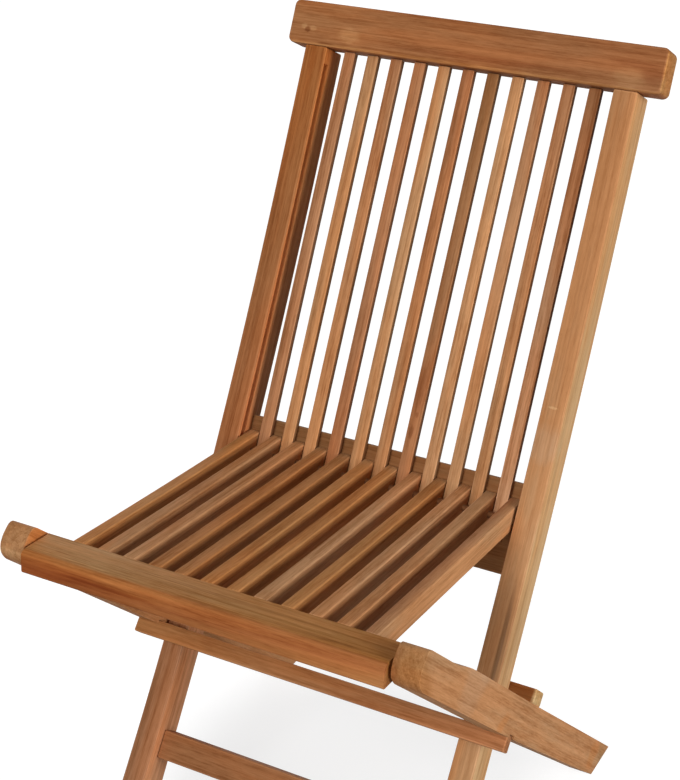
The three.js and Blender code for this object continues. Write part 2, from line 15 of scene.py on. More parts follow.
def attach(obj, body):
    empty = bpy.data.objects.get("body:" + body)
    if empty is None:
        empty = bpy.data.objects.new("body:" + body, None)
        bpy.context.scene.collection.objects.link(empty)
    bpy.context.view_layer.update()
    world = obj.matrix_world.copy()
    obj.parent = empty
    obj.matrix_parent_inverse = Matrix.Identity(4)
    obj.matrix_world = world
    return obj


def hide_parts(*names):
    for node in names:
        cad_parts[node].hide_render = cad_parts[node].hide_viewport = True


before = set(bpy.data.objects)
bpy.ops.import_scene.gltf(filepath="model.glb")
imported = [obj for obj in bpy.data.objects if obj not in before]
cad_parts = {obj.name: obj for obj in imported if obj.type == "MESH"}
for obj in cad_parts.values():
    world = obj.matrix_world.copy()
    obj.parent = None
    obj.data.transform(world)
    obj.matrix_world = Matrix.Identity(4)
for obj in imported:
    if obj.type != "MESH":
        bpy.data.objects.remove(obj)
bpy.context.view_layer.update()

# %% [markdown]
# ## The camera
# The chair was seen from its right-hand front and from above. A camera can be aimed
# by a constraint or by hand. Here it gets its place and three angles, because the
# same numbers then give the same picture every time: how far it is turned to the
# side, how far it looks down, and how little it is tilted.

# %% Place the camera
camera_place = Vector((0.7561, -1.4216, 1.3598))
camera_turn = math.radians(28.401)
camera_down = math.radians(25.866)
camera_tilt = math.radians(0.168)
camera_lens = 78.38
camera_sensor = 36
camera_shift = (-0.00045, -0.0191)
quarter_turn = math.pi / 2


def let_go():
    """Deselects everything, because an operator acts on all that is selected."""
    bpy.ops.object.select_all(action="DESELECT")


let_go()
bpy.ops.object.camera_add(location=camera_place)
camera = bpy.context.object
aim = Matrix.Rotation(camera_turn, 4, "Z") @ Matrix.Rotation(quarter_turn - camera_down, 4, "X")
camera.matrix_world = Matrix.Translation(camera_place) @ aim @ Matrix.Rotation(camera_tilt, 4, "Z")
camera.data.lens = camera_lens
camera.data.sensor_width = camera_sensor
camera.data.shift_x, camera.data.shift_y = camera_shift
camera.data.dof.use_dof = False
bpy.context.scene.camera = camera
print("camera", camera_lens, "mm lens at", tuple(round(c, 3) for c in camera_place))

# %% [markdown]
# ## The side view of the chair
# A joiner draws this chair from the side first: the bent post, the straight line of
# the back slats, the crossing leg and the seat. The same drawing is kept here as a
# few functions, so that every piece below takes its place from it. A point of the
# drawing is a vector with X zero.

# %% Draw the bent post
mm = 0.001
chair_shift = -244.574 * mm
bend_height = 890 * mm
bend_run = 528 * mm
bend_low_share = 0.449
bend_high_share = 0.732
post_height = 847 * mm
post_depth = 42.5 * mm
foot_depth = 52 * mm
foot_flare_top = 260 * mm
small_step = 1 * mm


def side(y, z):
    """A point or direction of the side view."""
    return Vector((0, y, z))


def post_front(z):
    """The front face of the bent post at one height."""
    share = z / bend_height
    rest = 1 - share
    low = 3 * share * rest * rest * bend_low_share
    high = 3 * share * share * rest * bend_high_share
    return side(chair_shift + bend_run * (low + high + share**3), z)


def post_up(z):
    """The direction up along the post at one height."""
    return (post_front(z + small_step) - post_front(z - small_step)).normalized()


def behind(direction):
    """The direction square to another one, pointing to the back."""
    return side(direction.z, -direction.y)


def inside_post(z, depth):
    """A point some depth behind the front face of the post."""
    return post_front(z) + behind(post_up(z)) * depth


def post_depth_at(z):
    """The post grows a little deeper towards the foot."""
    share = max(0, 1 - z / foot_flare_top)
    return post_depth + (foot_depth - post_depth) * share**2


print("post leans from", post_front(0).y, "to", post_front(post_height).y)

# %% Draw the slats, the pivot and the seat hinge
frame_width = 403 * mm
chair_half = frame_width / 2
post_width = 27 * mm
post_inner = chair_half - post_width
leg_gap = 3 * mm
leg_thickness = 29 * mm
leg_inner = chair_half + leg_gap
leg_outer = leg_inner + leg_thickness
joint_gap = 0.3 * mm
slat_level = 434 * mm
slat_inset_low = 17 * mm
slat_inset_high = 14 * mm
leg_tilt = math.radians(42.1)
seat_tilt = math.radians(5.2)
pivot = side(-48.010 * mm, 243.046 * mm)
hinge = side(-282.410 * mm, 455.046 * mm)

slat_foot = inside_post(slat_level, slat_inset_low)
slat_head = inside_post(post_height, slat_inset_high)
slat_up = (slat_head - slat_foot).normalized()
slat_back = behind(slat_up)
leg_forward = side(-math.cos(leg_tilt), math.sin(leg_tilt))
leg_over = side(math.sin(leg_tilt), math.cos(leg_tilt))
seat_back = side(math.cos(seat_tilt), -math.sin(seat_tilt))
seat_up = side(math.sin(seat_tilt), math.cos(seat_tilt))
print("back slats lean", round(math.degrees(math.atan2(slat_up.y, slat_up.z)), 1), "degrees")

# %% Points on the slats, the leg and the seat
def on_slat_line(z, depth):
    """A point behind the straight front line of the back slats."""
    return slat_foot + slat_up * ((z - slat_foot.z) / slat_up.z) + slat_back * depth


def on_leg(forward, over):
    """A point of the leg's own drawing, measured along and over the pivot."""
    return pivot + leg_forward * forward + leg_over * over


def on_seat(backward, upward):
    """A point of the seat's own drawing, measured from its hinge."""
    return hinge + seat_back * backward + seat_up * upward


def curve(start, control, end, share):
    """A point of a curve that leaves a corner off."""
    rest = 1 - share
    return start * rest**2 + control * 2 * share * rest + end * share**2


print("the seat's hinge is", round((hinge - pivot).length / mm), "mm from the pivot")

# %% [markdown]
# ## Working on a mesh by hand
# Each piece starts as a primitive and is then shaped in edit mode. An operator acts
# on everything that is selected, so a few small helpers select one piece, or the
# points, edges or faces of it that pass a test. Two directions count as the same
# when the cosine of the angle between them is nearly one.

# %% Helpers that select
touch = 0.02 * mm
same_way_cosine = 0.99


def named(name):
    """Names the object that was just added, and its data."""
    piece = bpy.context.object
    piece.name = name
    piece.data.name = name
    return piece


def take_up(piece):
    """Makes one piece the only selected and the active one."""
    let_go()
    piece.select_set(True)
    bpy.context.view_layer.objects.active = piece
    return piece


def settle(piece):
    """Writes the place, turn and size of a piece into its mesh."""
    take_up(piece)
    bpy.ops.object.transform_apply(location=True, rotation=True, scale=True)
    return piece


def pick(piece, kind, test):
    """In edit mode, selects the vertices, edges or faces that pass a test."""
    bpy.ops.mesh.select_mode(type=kind)
    bpy.ops.mesh.select_all(action="DESELECT")
    mesh = bmesh.from_edit_mesh(piece.data)
    parts = {"VERT": mesh.verts, "EDGE": mesh.edges, "FACE": mesh.faces}[kind]
    for part in parts:
        if test(part):
            part.select_set(True)
    mesh.select_flush_mode()
    bmesh.update_edit_mesh(piece.data)


def on_line(vertex, point):
    """Whether a vertex lies on the line across X through a point of the side view."""
    return abs(vertex.co.y - point.y) < touch and abs(vertex.co.z - point.z) < touch


print("points count as one within", touch / mm, "mm")

# %% [markdown]
# ## Finishing a mesh
# A sander takes every sharp arris off a chair, which is a Bevel modifier limited by
# angle. Metal rims are broken with fewer steps. Holes and grooves are Boolean
# modifiers with a cutter that is thrown away. Both are applied, so that the piece is
# plain mesh in the end, and the flat faces are then shaded flat and the round ones
# smooth.

# %% Round and cut
arris_segments = 3
arris_angle = math.radians(34)
rim_segments = 2
rim_angle = math.radians(60)


def round_arrises(piece, radius, segments=arris_segments, angle=arris_angle):
    """Rounds every edge that is sharper than an angle."""
    take_up(piece)
    rounding = piece.modifiers.new("Sanded arris", "BEVEL")
    rounding.width = radius
    rounding.segments = segments
    rounding.limit_method = "ANGLE"
    rounding.angle_limit = angle
    rounding.use_clamp_overlap = True
    bpy.ops.object.modifier_apply(modifier=rounding.name)
    return piece


def cut_away(piece, cutter):
    """Cuts one mesh out of another and throws the cutter away."""
    take_up(piece)
    cut = piece.modifiers.new("Cut", "BOOLEAN")
    cut.operation = "DIFFERENCE"
    cut.solver = "EXACT"
    cut.object = cutter
    bpy.ops.object.modifier_apply(modifier=cut.name)
    bpy.data.objects.remove(cutter)
    return piece


print("arrises get", arris_segments, "segments")

# %% Shade and turn outwards
smooth_angle = math.radians(30)


def shade(piece):
    """Smooth over round arrises, flat over flat faces."""
    take_up(piece)
    bpy.ops.object.shade_smooth_by_angle(angle=smooth_angle)
    return piece


def point_outwards(piece):
    """Merges doubles and turns every face outwards."""
    take_up(piece)
    bpy.ops.object.mode_set(mode="EDIT")
    bpy.ops.mesh.select_all(action="SELECT")
    bpy.ops.mesh.remove_doubles(threshold=touch)
    bpy.ops.mesh.normals_make_consistent(inside=False)
    bpy.ops.object.mode_set(mode="OBJECT")
    return piece


print("smooth below", round(math.degrees(smooth_angle)), "degrees")

# %% [markdown]
# ## A board sawn to a curve
# Posts, legs and slats are sawn out of a plank along two lines. In Blender that is a
# flat rectangle, extruded again and again along the two lines, with the far edge of
# each new end moved to where the line wants it.

# %% Saw a board from pairs of points
rod_sides = 48


def sawn_board(name, low_x, high_x, pairs):
    """A board across X whose two edges run through pairs of side-view points."""
    near, far = pairs[0]
    across = far - near
    let_go()
    bpy.ops.mesh.primitive_plane_add(size=1)
    board = named(name)
    board.scale = (high_x - low_x, across.length, 1)
    board.rotation_euler = (math.atan2(across.z, across.y), 0, 0)
    board.location = (near + far) / 2 + Vector(((low_x + high_x) / 2, 0, 0))
    settle(board)
    bpy.ops.object.mode_set(mode="EDIT")
    bpy.ops.mesh.select_all(action="SELECT")
    for next_near, next_far in pairs[1:]:
        step = next_near - near
        bpy.ops.mesh.extrude_region_move(TRANSFORM_OT_translate={"value": step})
        drift = next_far - (far + step)
        pick(board, "VERT", lambda v: on_line(v, far + step))
        bpy.ops.transform.translate(value=drift)
        pick(board, "VERT", lambda v: on_line(v, next_near) or on_line(v, next_far))
        bpy.ops.mesh.select_mode(type="FACE")
        near, far = next_near, next_far
    bpy.ops.object.mode_set(mode="OBJECT")
    return point_outwards(board)


def rod_across(name, center, radius, low_x, high_x, sides=rod_sides):
    """A cylinder across X, used for rods and for the cutters of holes."""
    let_go()
    bpy.ops.mesh.primitive_cylinder_add(
        vertices=sides, radius=radius, depth=high_x - low_x,
        location=((low_x + high_x) / 2, center.y, center.z), rotation=(0, quarter_turn, 0))
    return settle(named(name))


print("boards are sawn between two lines, and rods have", rod_sides, "sides")

# %% [markdown]
# ## The teak
# Teak is golden to reddish brown, with soft growth rings, fine darker fibres and
# short open pores. A picture of wood could be wrapped round each piece, but solid
# wood shows the same grain on its face, edge and end. So the grain is a pattern in
# space: every board remembers where it was sawn out of one long log, as an attribute
# of its points, and the material looks up rings and fibres at that place. Boards
# that were sawn far apart then differ, as real ones do.

# %% Board colours
full_paint = 255
dark_paint_share = 0.04045
dark_paint_slope = 12.92
paint_lift = 0.055
paint_power = 2.4


def paint(red, green, blue):
    """A colour from 0 to 255, as a paint chart writes it, in Blender's linear light."""
    def linear(value):
        share = value / full_paint
        if share <= dark_paint_share:
            return share / dark_paint_slope
        return ((share + paint_lift) / (1 + paint_lift)) ** paint_power

    return (linear(red), linear(green), linear(blue), 1)


pale_teak = paint(193, 140, 97)
golden_teak = paint(188, 137, 94)
lit_blond_teak = paint(206, 152, 112)
tan_teak = paint(181, 128, 85)
brown_teak = paint(170, 115, 77)
red_teak = paint(164, 107, 70)
dark_teak = paint(137, 92, 55)
orange_teak = paint(158, 95, 47)
olive_teak = paint(190, 139, 88)
moss_teak = paint(163, 110, 57)
honey_teak = paint(180, 121, 70)
nut_teak = paint(168, 110, 63)
gilt_and_highlight_teak = paint(180, 114, 60)
rust_teak = paint(144, 76, 35)
clay_teak = paint(160, 112, 80)
amber_brown = paint(168, 109, 66)
dim_brown = paint(153, 98, 60)
umber_teak = paint(150, 92, 48)
print("the palest boards let back", round(lit_blond_teak[0], 2), "of the red light")

# %% Nodes made short
def add_node(tree, kind, settings=None, inputs=None):
    """Adds a shader node, sets its options and fills or links its sockets."""
    made = tree.nodes.new(kind)
    for key, value in (settings or {}).items():
        setattr(made, key, value)
    for key, value in (inputs or {}).items():
        socket = made.inputs[key]
        if isinstance(value, bpy.types.NodeSocket):
            tree.links.new(value, socket)
        else:
            socket.default_value = value
    return made


def new_material(name):
    """A material with nodes, together with its tree and its surface shader."""
    material = bpy.data.materials.new(name)
    material.use_nodes = True
    tree = material.node_tree
    return material, tree, tree.nodes["Principled BSDF"]


def attribute(tree, name, kind):
    """What a board's points and faces say about themselves."""
    return add_node(tree, "ShaderNodeAttribute", {"attribute_name": name}).outputs[kind]


def on_piece(tree):
    """The place in the piece's own space."""
    return add_node(tree, "ShaderNodeTexCoord").outputs["Object"]


def math_node(tree, operation, first, second=0.0):
    """One sum on one or two values."""
    made = add_node(tree, "ShaderNodeMath", {"operation": operation}, {0: first, 1: second})
    return made.outputs[0]


print("materials are made from nodes")

# %% Noise and ranges
unmoved = (0, 0, 0)


def stretched(tree, place, scale, shift=unmoved):
    """A place, scaled differently along and across the grain."""
    made = add_node(tree, "ShaderNodeMapping", None, {
        "Vector": place, "Scale": scale, "Location": shift})
    return made.outputs["Vector"]


def noise(tree, place, layer):
    """Soft noise, from a layer's scale, shift, detail and roughness."""
    scale, shift, detail, roughness = layer
    made = add_node(tree, "ShaderNodeTexNoise", None, {
        "Vector": stretched(tree, place, scale, shift), "Scale": 1, "Detail": detail,
        "Roughness": roughness})
    return made.outputs["Fac"]


def between(tree, value, limits, results=(0.0, 1.0)):
    """Stretches a value from its limits to the results, and stops at the ends."""
    made = add_node(tree, "ShaderNodeMapRange", {"interpolation_type": "SMOOTHSTEP"}, {
        "Value": value, "From Min": limits[0], "From Max": limits[1],
        "To Min": results[0], "To Max": results[1]})
    return made.outputs["Result"]


print("noise is read at a place that is stretched and moved")

# %% Blends and bumps
mix_first = 6
mix_second = 7
mix_result = 2


def mixed(tree, amount, first, second, blend="MIX"):
    """Blends a second colour into a first one, by some amount."""
    made = add_node(tree, "ShaderNodeMix", {"data_type": "RGBA", "blend_type": blend}, {
        "Factor": amount, mix_first: first, mix_second: second})
    return made.outputs[mix_result]


def tinted(tree, colour, tint, amount):
    """Multiplies a colour by a tint, by some amount."""
    return mixed(tree, amount, colour, tint, "MULTIPLY")


def roughen(tree, surface, rough, height, bump_look):
    """Gives a surface its roughness, and small bumps that follow a height."""
    tree.links.new(rough, surface.inputs["Roughness"])
    bump = add_node(tree, "ShaderNodeBump", None, {"Height": height, **bump_look})
    tree.links.new(bump.outputs["Normal"], surface.inputs["Normal"])


print("a Mix node takes its colours at", mix_first, "and", mix_second)

# %% [markdown]
# The rings are a Wave texture round the heart of the log. Streaks, fibres, short
# flecks, fine hairs, wide soft bands, blotches and pores are noise that is stretched
# along the grain. A layer is written as its scale and its shift in the log, its
# detail and its roughness, and in the table as its weight too. The weighted sum of
# all is turned into a darker and redder or a lighter and yellower tint of the
# board's own colour. A slow noise of its own moves the hue between orange and olive.

# %% Grain
mid_tone = 0.5
ring_stretch = (0.05, 1, 1)
ring_weight = 0.16
ring_look = {"Scale": 44, "Distortion": 5.0, "Detail": 3.0, "Detail Scale": 0.9,
             "Detail Roughness": 0.55}
grain_layers = {
    "streaks": ((4, 190, 190), (2, 9, 4), 4, 0.65, 0.8),
    "fibres": ((9, 480, 480), unmoved, 4, 0.6, 0.7),
    "flecks": ((55, 560, 560), (6, 3, 5), 3, 0.7, 0.8),
    "hairs": ((26, 1500, 1500), (3, 7, 1), 3, 0.6, 0.3),
    "bands": ((2.2, 62, 62), (5, 2, 8), 4, 0.6, 0.7),
    "blotches": ((12, 40, 40), (1, 4, 6), 2, 0.55, 0.5),
}
pore_layer = ((95, 1900, 1900), unmoved, 2, 0.5)
pore_limits = (0.60, 0.72)
hue_layer = ((5, 34, 34), (8, 3, 2), 3, 0.55)
hue_limits = (0.36, 0.64)


def grain_value(tree, place, figure):
    """How dark or light the wood is here, with the mid tone as the board's own colour."""
    rings = add_node(tree, "ShaderNodeTexWave",
                     {"wave_type": "RINGS", "rings_direction": "X", "wave_profile": "SAW"},
                     {"Vector": stretched(tree, place, ring_stretch), **ring_look})
    parts = [(rings.outputs["Fac"], ring_weight)]
    parts += [(noise(tree, place, layer), weight) for *layer, weight in grain_layers.values()]
    total = 0.0
    for value, weight in parts:
        centred = math_node(tree, "SUBTRACT", value, mid_tone)
        weighted = math_node(tree, "MULTIPLY", centred, weight)
        total = math_node(tree, "ADD", total, weighted)
    return math_node(tree, "ADD", math_node(tree, "MULTIPLY", total, figure), mid_tone)


def pore_value(tree, place):
    """Short open pores along the grain, and dots on the end grain."""
    return between(tree, noise(tree, place, pore_layer), pore_limits)


def hue_value(tree, place):
    """Zero where the wood is more orange, one where it is more olive."""
    return between(tree, noise(tree, place, hue_layer), hue_limits)


print("over the rings lie", ", ".join(grain_layers))

# %% [markdown]
# The material looks all of this up. A ramp turns the grain into a tint, and weak tints for the pores,
# the end grain and the arrises follow; the arris tint is partly sanded wear and partly a painted
# highlight. Marks come last.
# A mark is an oval spot with a ragged rim, such as a knot or a streak.

# %% A mark on a board
ragged_layer = ((1.3, 1.3, 1.3), unmoved, 4, 0.65)
mark_warp = 0.9
mark_rim = (1.0, 1.7)


def marked(tree, colour, place, mark):
    """Tints an oval spot of one board, such as a knot or a streak, with a ragged rim."""
    middle, size, tint, amount = mark
    scale = [1 / part for part in size]
    shift = [-spot / part for spot, part in zip(middle, size)]
    offset = stretched(tree, place, scale, shift)
    length = add_node(tree, "ShaderNodeVectorMath", {"operation": "LENGTH"}, {0: offset})
    warp = math_node(tree, "MULTIPLY", noise(tree, offset, ragged_layer), mark_warp)
    warped = math_node(tree, "ADD", length.outputs["Value"], warp)
    return tinted(tree, colour, tint, between(tree, warped, mark_rim, (amount, 0.0)))


print("a mark fades out at", mark_rim[1], "of its size")

# %% The grain as a tint
plain_white = (1, 1, 1, 1)
dark_tint = (0.70, 0.60, 0.50, 1)
light_tint = (1.22, 1.27, 1.33, 1)
dark_tone = 0.18
light_tone = 0.82


def tone_tint(tree, value):
    """The grain as a tint: dark, the board's own colour, light."""
    ramp = add_node(tree, "ShaderNodeValToRGB", None, {"Fac": value})
    dark, light = ramp.color_ramp.elements
    dark.position = dark_tone
    dark.color = dark_tint
    light.position = light_tone
    light.color = light_tint
    ramp.color_ramp.elements.new(mid_tone).color = plain_white
    return ramp.outputs["Color"]


print("the grain is darkest at", dark_tone, "and lightest at", light_tone)

# %% The teak material
pore_tint = (0.80, 0.74, 0.68, 1)
pore_strength = 0.6
pore_sink = 0.5
# The arris tint is partly sanded wear and partly a painted highlight.
arris_wear_and_highlight_tint = (1.22, 1.30, 1.42, 1)
arris_wear_and_highlight_strength = 0.7
end_tint = (0.90, 0.88, 0.84, 1)
orange_tint = (1.04, 0.95, 0.84, 1)
olive_tint = (0.97, 1.03, 1.06, 1)
rough_limits = (0.2, 0.8)
teak_roughness = (0.78, 0.63)
teak_bump = {"Strength": 0.35, "Distance": 0.4 * mm}
teak_gloss = 0.10


def teak_material(name, marks=()):
    """Oiled teak that reads its place in the log, its board colour, and its wear with a painted
    highlight on the arrises.
    """
    material, tree, surface = new_material(name)
    place = attribute(tree, "log_place", "Vector")
    board = attribute(tree, "board_colour", "Color")
    wear_and_highlight = attribute(tree, "board_wear", "Vector")
    end_grain, arris, figure = add_node(tree, "ShaderNodeSeparateXYZ", None, {0: wear_and_highlight}).outputs
    value = grain_value(tree, place, figure)
    pores = pore_value(tree, place)
    hue = mixed(tree, hue_value(tree, place), orange_tint, olive_tint)
    tints = [(tone_tint(tree, value), 1.0), (hue, 1.0),
             (pore_tint, math_node(tree, "MULTIPLY", pores, pore_strength)),
             (end_tint, end_grain),
             (arris_wear_and_highlight_tint, math_node(tree, "MULTIPLY", arris, arris_wear_and_highlight_strength))]
    colour = board
    for tint, amount in tints:
        colour = tinted(tree, colour, tint, amount)
    on_board = on_piece(tree) if marks else None
    for mark in marks:
        colour = marked(tree, colour, on_board, mark)
    tree.links.new(colour, surface.inputs["Base Color"])
    height = math_node(tree, "SUBTRACT", value, math_node(tree, "MULTIPLY", pores, pore_sink))
    roughen(tree, surface, between(tree, value, rough_limits, teak_roughness), height, teak_bump)
    surface.inputs["Specular IOR Level"].default_value = teak_gloss
    return material


teak = teak_material("oiled_teak")
print("made", teak.name, "with", len(teak.node_tree.nodes), "nodes")

# %% [markdown]
# Some boards have marks that the eye finds at once: knots, dark and mineral streaks, a scratch, and
# patches that are rosier, paler or darker than the rest. A few marks are painted light and shade
# instead: a highlight on the top rail's left end and lower front arris, a shadow on the left post's
# front under the seat, and shade on the inner side of the left leg's nose. Each mark is an oval in the
# board's own space, given by its middle, its half sizes, the tint inside it and how strong it is. A
# board with marks has a teak of its own.

# %% Tints of the marks
knot_tint = (0.60, 0.48, 0.40, 1)
streak_tint = (0.72, 0.58, 0.48, 1)
ember_tint = (0.76, 0.62, 0.55, 1)
mineral_tint = (0.60, 0.62, 0.68, 1)
shade_tint = (0.74, 0.70, 0.66, 1)
bleached_tint = (1.22, 1.42, 1.55, 1)
painted_end_highlight_tint = (1.45, 1.68, 1.45, 1)
painted_edge_light_tint = (1.20, 1.27, 1.12, 1)
rosy_tint = (0.96, 1.06, 1.24, 1)
pale_rose_tint = (1.0, 1.16, 1.42, 1)
ripe_tint = (0.83, 0.76, 0.62, 1)
amber_tint = (1.04, 0.84, 0.58, 1)
flame_tint = (1.25, 0.88, 0.54, 1)
foot_tint = (0.78, 0.78, 0.70, 1)
pale_end_tint = (2.1, 3.8, 6.4, 1)
print("a knot keeps", knot_tint[0], "of the red light")

# %% Marks on the two large rails
top_rail_marks = [
    ((-0.2080, 0.271, 0.8655), (0.004, 0.03, 0.003), bleached_tint, 1.0),
    ((-0.2030, 0.271, 0.8620), (0.004, 0.03, 0.003), knot_tint, 0.9),
    ((-0.1960, 0.272, 0.8640), (0.005, 0.03, 0.003), bleached_tint, 0.9),
    ((-0.148, 0.270, 0.861), (0.014, 0.03, 0.008), bleached_tint, 0.9),
    ((0.189, 0.269, 0.858), (0.020, 0.03, 0.010), bleached_tint, 0.7),
    ((0.215, 0.271, 0.863), (0.014, 0.03, 0.008), ember_tint, 0.6),
    ((0.195, 0.272, 0.873), (0.030, 0.03, 0.004), streak_tint, 0.5),
    # A painted highlight on the top rail's left end face.
    ((0.2275, 0.285, 0.870), (0.003, 0.08, 0.08), painted_end_highlight_tint, 1.0),
    ((0.020, 0.267, 0.857), (0.140, 0.03, 0.003), streak_tint, 0.7),
    # Painted light along the top rail's lower front arris, in place of its shade.
    ((0.010, 0.263, 0.847), (0.300, 0.006, 0.0035), painted_edge_light_tint, 0.9),
    ((-0.040, 0.285, 0.893), (0.160, 0.03, 0.004), streak_tint, 0.5),
    ((-0.176, 0.264, 0.850), (0.012, 0.03, 0.001), knot_tint, 0.9),
]
seat_rail_marks = [
    ((-0.175, -0.314, 0.4610), (0.090, 0.02, 0.009), ember_tint, 1.0),
    ((-0.100, -0.314, 0.4605), (0.060, 0.02, 0.0025), streak_tint, 1.0),
    ((0.070, -0.313, 0.4660), (0.160, 0.02, 0.005), ember_tint, 0.5),
    ((-0.110, -0.291, 0.471), (0.110, 0.003, 0.02), shade_tint, 0.2),
    ((0.050, -0.283, 0.470), (0.120, 0.003, 0.02), shade_tint, 0.7),
    ((0.120, -0.299, 0.470), (0.080, 0.003, 0.02), shade_tint, 0.6),
]
print("marks on the top rail:", len(top_rail_marks), "on the seat's rail:", len(seat_rail_marks))

# %% Marks on the other boards
post_marks = [
    ((0.194, -0.020, 0.316), (0.003, 0.06, 0.055), mineral_tint, 0.9),
    # Painted shadow on the front of the left post under the seat.
    ((0.188, -0.020, 0.322), (0.030, 0.06, 0.060), shade_tint, 0.6),
    ((0.1875, 0.107, 0.5384), (0.006, 0.02, 0.0013), bleached_tint, 1.0),
    ((0.186, 0.088, 0.5020), (0.020, 0.02, 0.020), pale_rose_tint, 0.8),
]
leg_marks = [
    ((0.2335, -0.1785, 0.378), (0.02, 0.040, 0.030), rosy_tint, 1.0),
    ((0.2200, -0.3000, 0.452), (0.04, 0.022, 0.040), ripe_tint, 1.0),
    # Painted shade on the inner side of the nose, next to the seat's rail.
    ((0.2070, -0.3000, 0.470), (0.005, 0.020, 0.020), ember_tint, 0.6),
    ((0.2335, 0.2000, 0.030), (0.02, 0.022, 0.016), amber_tint, 0.7),
    ((0.2335, -0.1050, 0.280), (0.02, 0.020, 0.008), amber_tint, 0.6),
    ((0.2335, 0.2380, 0.012), (0.02, 0.0175, 0.040), foot_tint, 1.0),
]
nose_marks = [
    ((-0.219, -0.268, 0.458), (0.02, 0.030, 0.016), amber_tint, 0.9),
    ((-0.2035, -0.280, 0.470), (0.0022, 0.030, 0.020), flame_tint, 1.0),
    ((-0.222, -0.309, 0.458), (0.02, 0.020, 0.008), bleached_tint, 0.7),
]
slat_marks = [
    ((0.0285, 0.090, 0.477), (0.0030, 0.02, 0.007), knot_tint, 0.7),
    ((0.0310, 0.099, 0.495), (0.0020, 0.02, 0.003), knot_tint, 0.6),
    ((0.0300, 0.110, 0.520), (0.0070, 0.03, 0.030), ember_tint, 0.5),
]
rear_rail_marks = [((0.232, 0.001, 0.243), (0.004, 0.030, 0.030), pale_end_tint, 0.9)]
print("marks on the left post:", len(post_marks), "on the left leg:", len(leg_marks))

# %% Teak with marks
marked_teaks = {
    "top_rail": teak_material("top_rail_teak", top_rail_marks),
    "seat_front_rail": teak_material("seat_rail_teak", seat_rail_marks),
    "post_left": teak_material("post_teak", post_marks),
    "leg_left": teak_material("leg_teak", leg_marks),
    "leg_right": teak_material("nose_teak", nose_marks),
    "rear_cross_rail": teak_material("rear_rail_teak", rear_rail_marks),
    "back_slat_07": teak_material("slat_teak", slat_marks),
}
print("boards with marks of their own:", len(marked_teaks))

# %% [markdown]
# A board's attributes are written in code, because no brush is as even. The place in the log is the
# point's distance along, across and through the board, moved by an amount that depends on the board's
# number. The wear and highlight attribute holds whether a face is end grain, whether it is an arris,
# which the material paints paler as sanded wear and as a painted highlight, and how bold the figure is.
# The table gives every board its number and how bold its figure is, and the slats count on from the
# number of the first one. Each attribute is filled before the next one is made, because a new one moves
# the others in memory.

# %% Where a board was sawn
sawn_boards = {
    "post_left": (3, 0.7), "post_right": (8, 0.9), "top_rail": (5, 1.0),
    "lower_back_rail": (11, 1.0), "stretcher": (14, 1.2), "back_slat": (20, 1.0),
    "leg_left": (40, 0.9), "leg_right": (43, 1.0), "front_cross_rail": (47, 1.0),
    "rear_cross_rail": (50, 0.9), "seat_front_rail": (53, 1.0), "seat_slat": (60, 0.9),
}
log_step = 0.73
heart_near = 45 * mm
heart_far = 130 * mm
golden_share = 0.618
crosswise_cosine = 0.5
across_chair = Vector((1, 0, 0))
rearward = side(1, 0)


def board_of(name):
    """The number and the figure of a board; numbered slats count on from the first."""
    family, _, place = name.rpartition("_")
    if family not in sawn_boards:
        return sawn_boards[name]
    first, figure = sawn_boards[family]
    return first + int(place) - 1, figure


def sawn_from(number):
    """The place in the log where a board with this number starts."""
    turn = number * golden_share * 2 * math.pi
    radius = heart_near + (heart_far - heart_near) * ((number * golden_share) % 1)
    return Vector((number * log_step, radius * math.cos(turn), radius * math.sin(turn)))


def board_axes(along):
    """The directions along, across and through a board."""
    lengthwise = abs(along.x) < crosswise_cosine
    across = along.cross(across_chair).normalized() if lengthwise else rearward
    return along, across, along.cross(across).normalized()


print("boards start", log_step, "m apart in the log")

# %% Write it into the mesh
arris_face_width = 1.6 * mm
end_grain_cosine = 0.8


def note_wear_and_highlight(mesh, along, figure):
    """Writes for every face whether it is end grain or an arris, and how bold it is."""
    wear_and_highlight = mesh.attributes.new("board_wear", "FLOAT_VECTOR", "CORNER")
    for face in mesh.polygons:
        edges = [mesh.vertices[a].co - mesh.vertices[b].co for a, b in face.edge_keys]
        narrow = min(edge.length for edge in edges) < arris_face_width and len(edges) == 4
        is_end = abs(face.normal.dot(along)) > end_grain_cosine
        for corner in face.loop_indices:
            wear_and_highlight.data[corner].vector = (is_end, narrow and not is_end, figure)


def note_grain(piece, tint, along, bend=None):
    """Writes the log place, the board colour, and the wear and arris highlight mask of every point and
    face.
    """
    number, figure = board_of(piece.name)
    start = sawn_from(number)
    mesh = piece.data
    axes = board_axes(along)
    places = mesh.attributes.new("log_place", "FLOAT_VECTOR", "POINT")
    for vertex, place in zip(mesh.vertices, places.data):
        point = vertex.co
        local = bend(point) if bend else Vector([point.dot(axis) for axis in axes])
        place.vector = local + start
    colours = mesh.attributes.new("board_colour", "FLOAT_COLOR", "POINT")
    for vertex, colour in zip(mesh.vertices, colours.data):
        colour.color = tint(vertex.co) if callable(tint) else tint
    note_wear_and_highlight(mesh, along, figure)
    return piece


print("boards in the table:", len(sawn_boards))

# %% [markdown]
# No board has quite one colour. A tint can fade from one end to the other, or be
# lighter on one side, and the grain of a bent board follows the bend. A tint is a
# colour, or a function that is asked for the colour at each point.

# %% Tints and bends along a board
bend_rounds = 6


def fading(low_tint, high_tint, low, high, axis=2):
    """A tint that changes from one end of a board to the other, along an axis."""
    def tint_at(point):
        share = min(max((point[axis] - low) / (high - low), 0), 1)
        return [start + (end - start) * share for start, end in zip(low_tint, high_tint)]

    return tint_at


def relit(colour, light):
    """A colour made lighter or darker, each of its parts by its own amount."""
    return [part * more for part, more in zip(colour, light)]


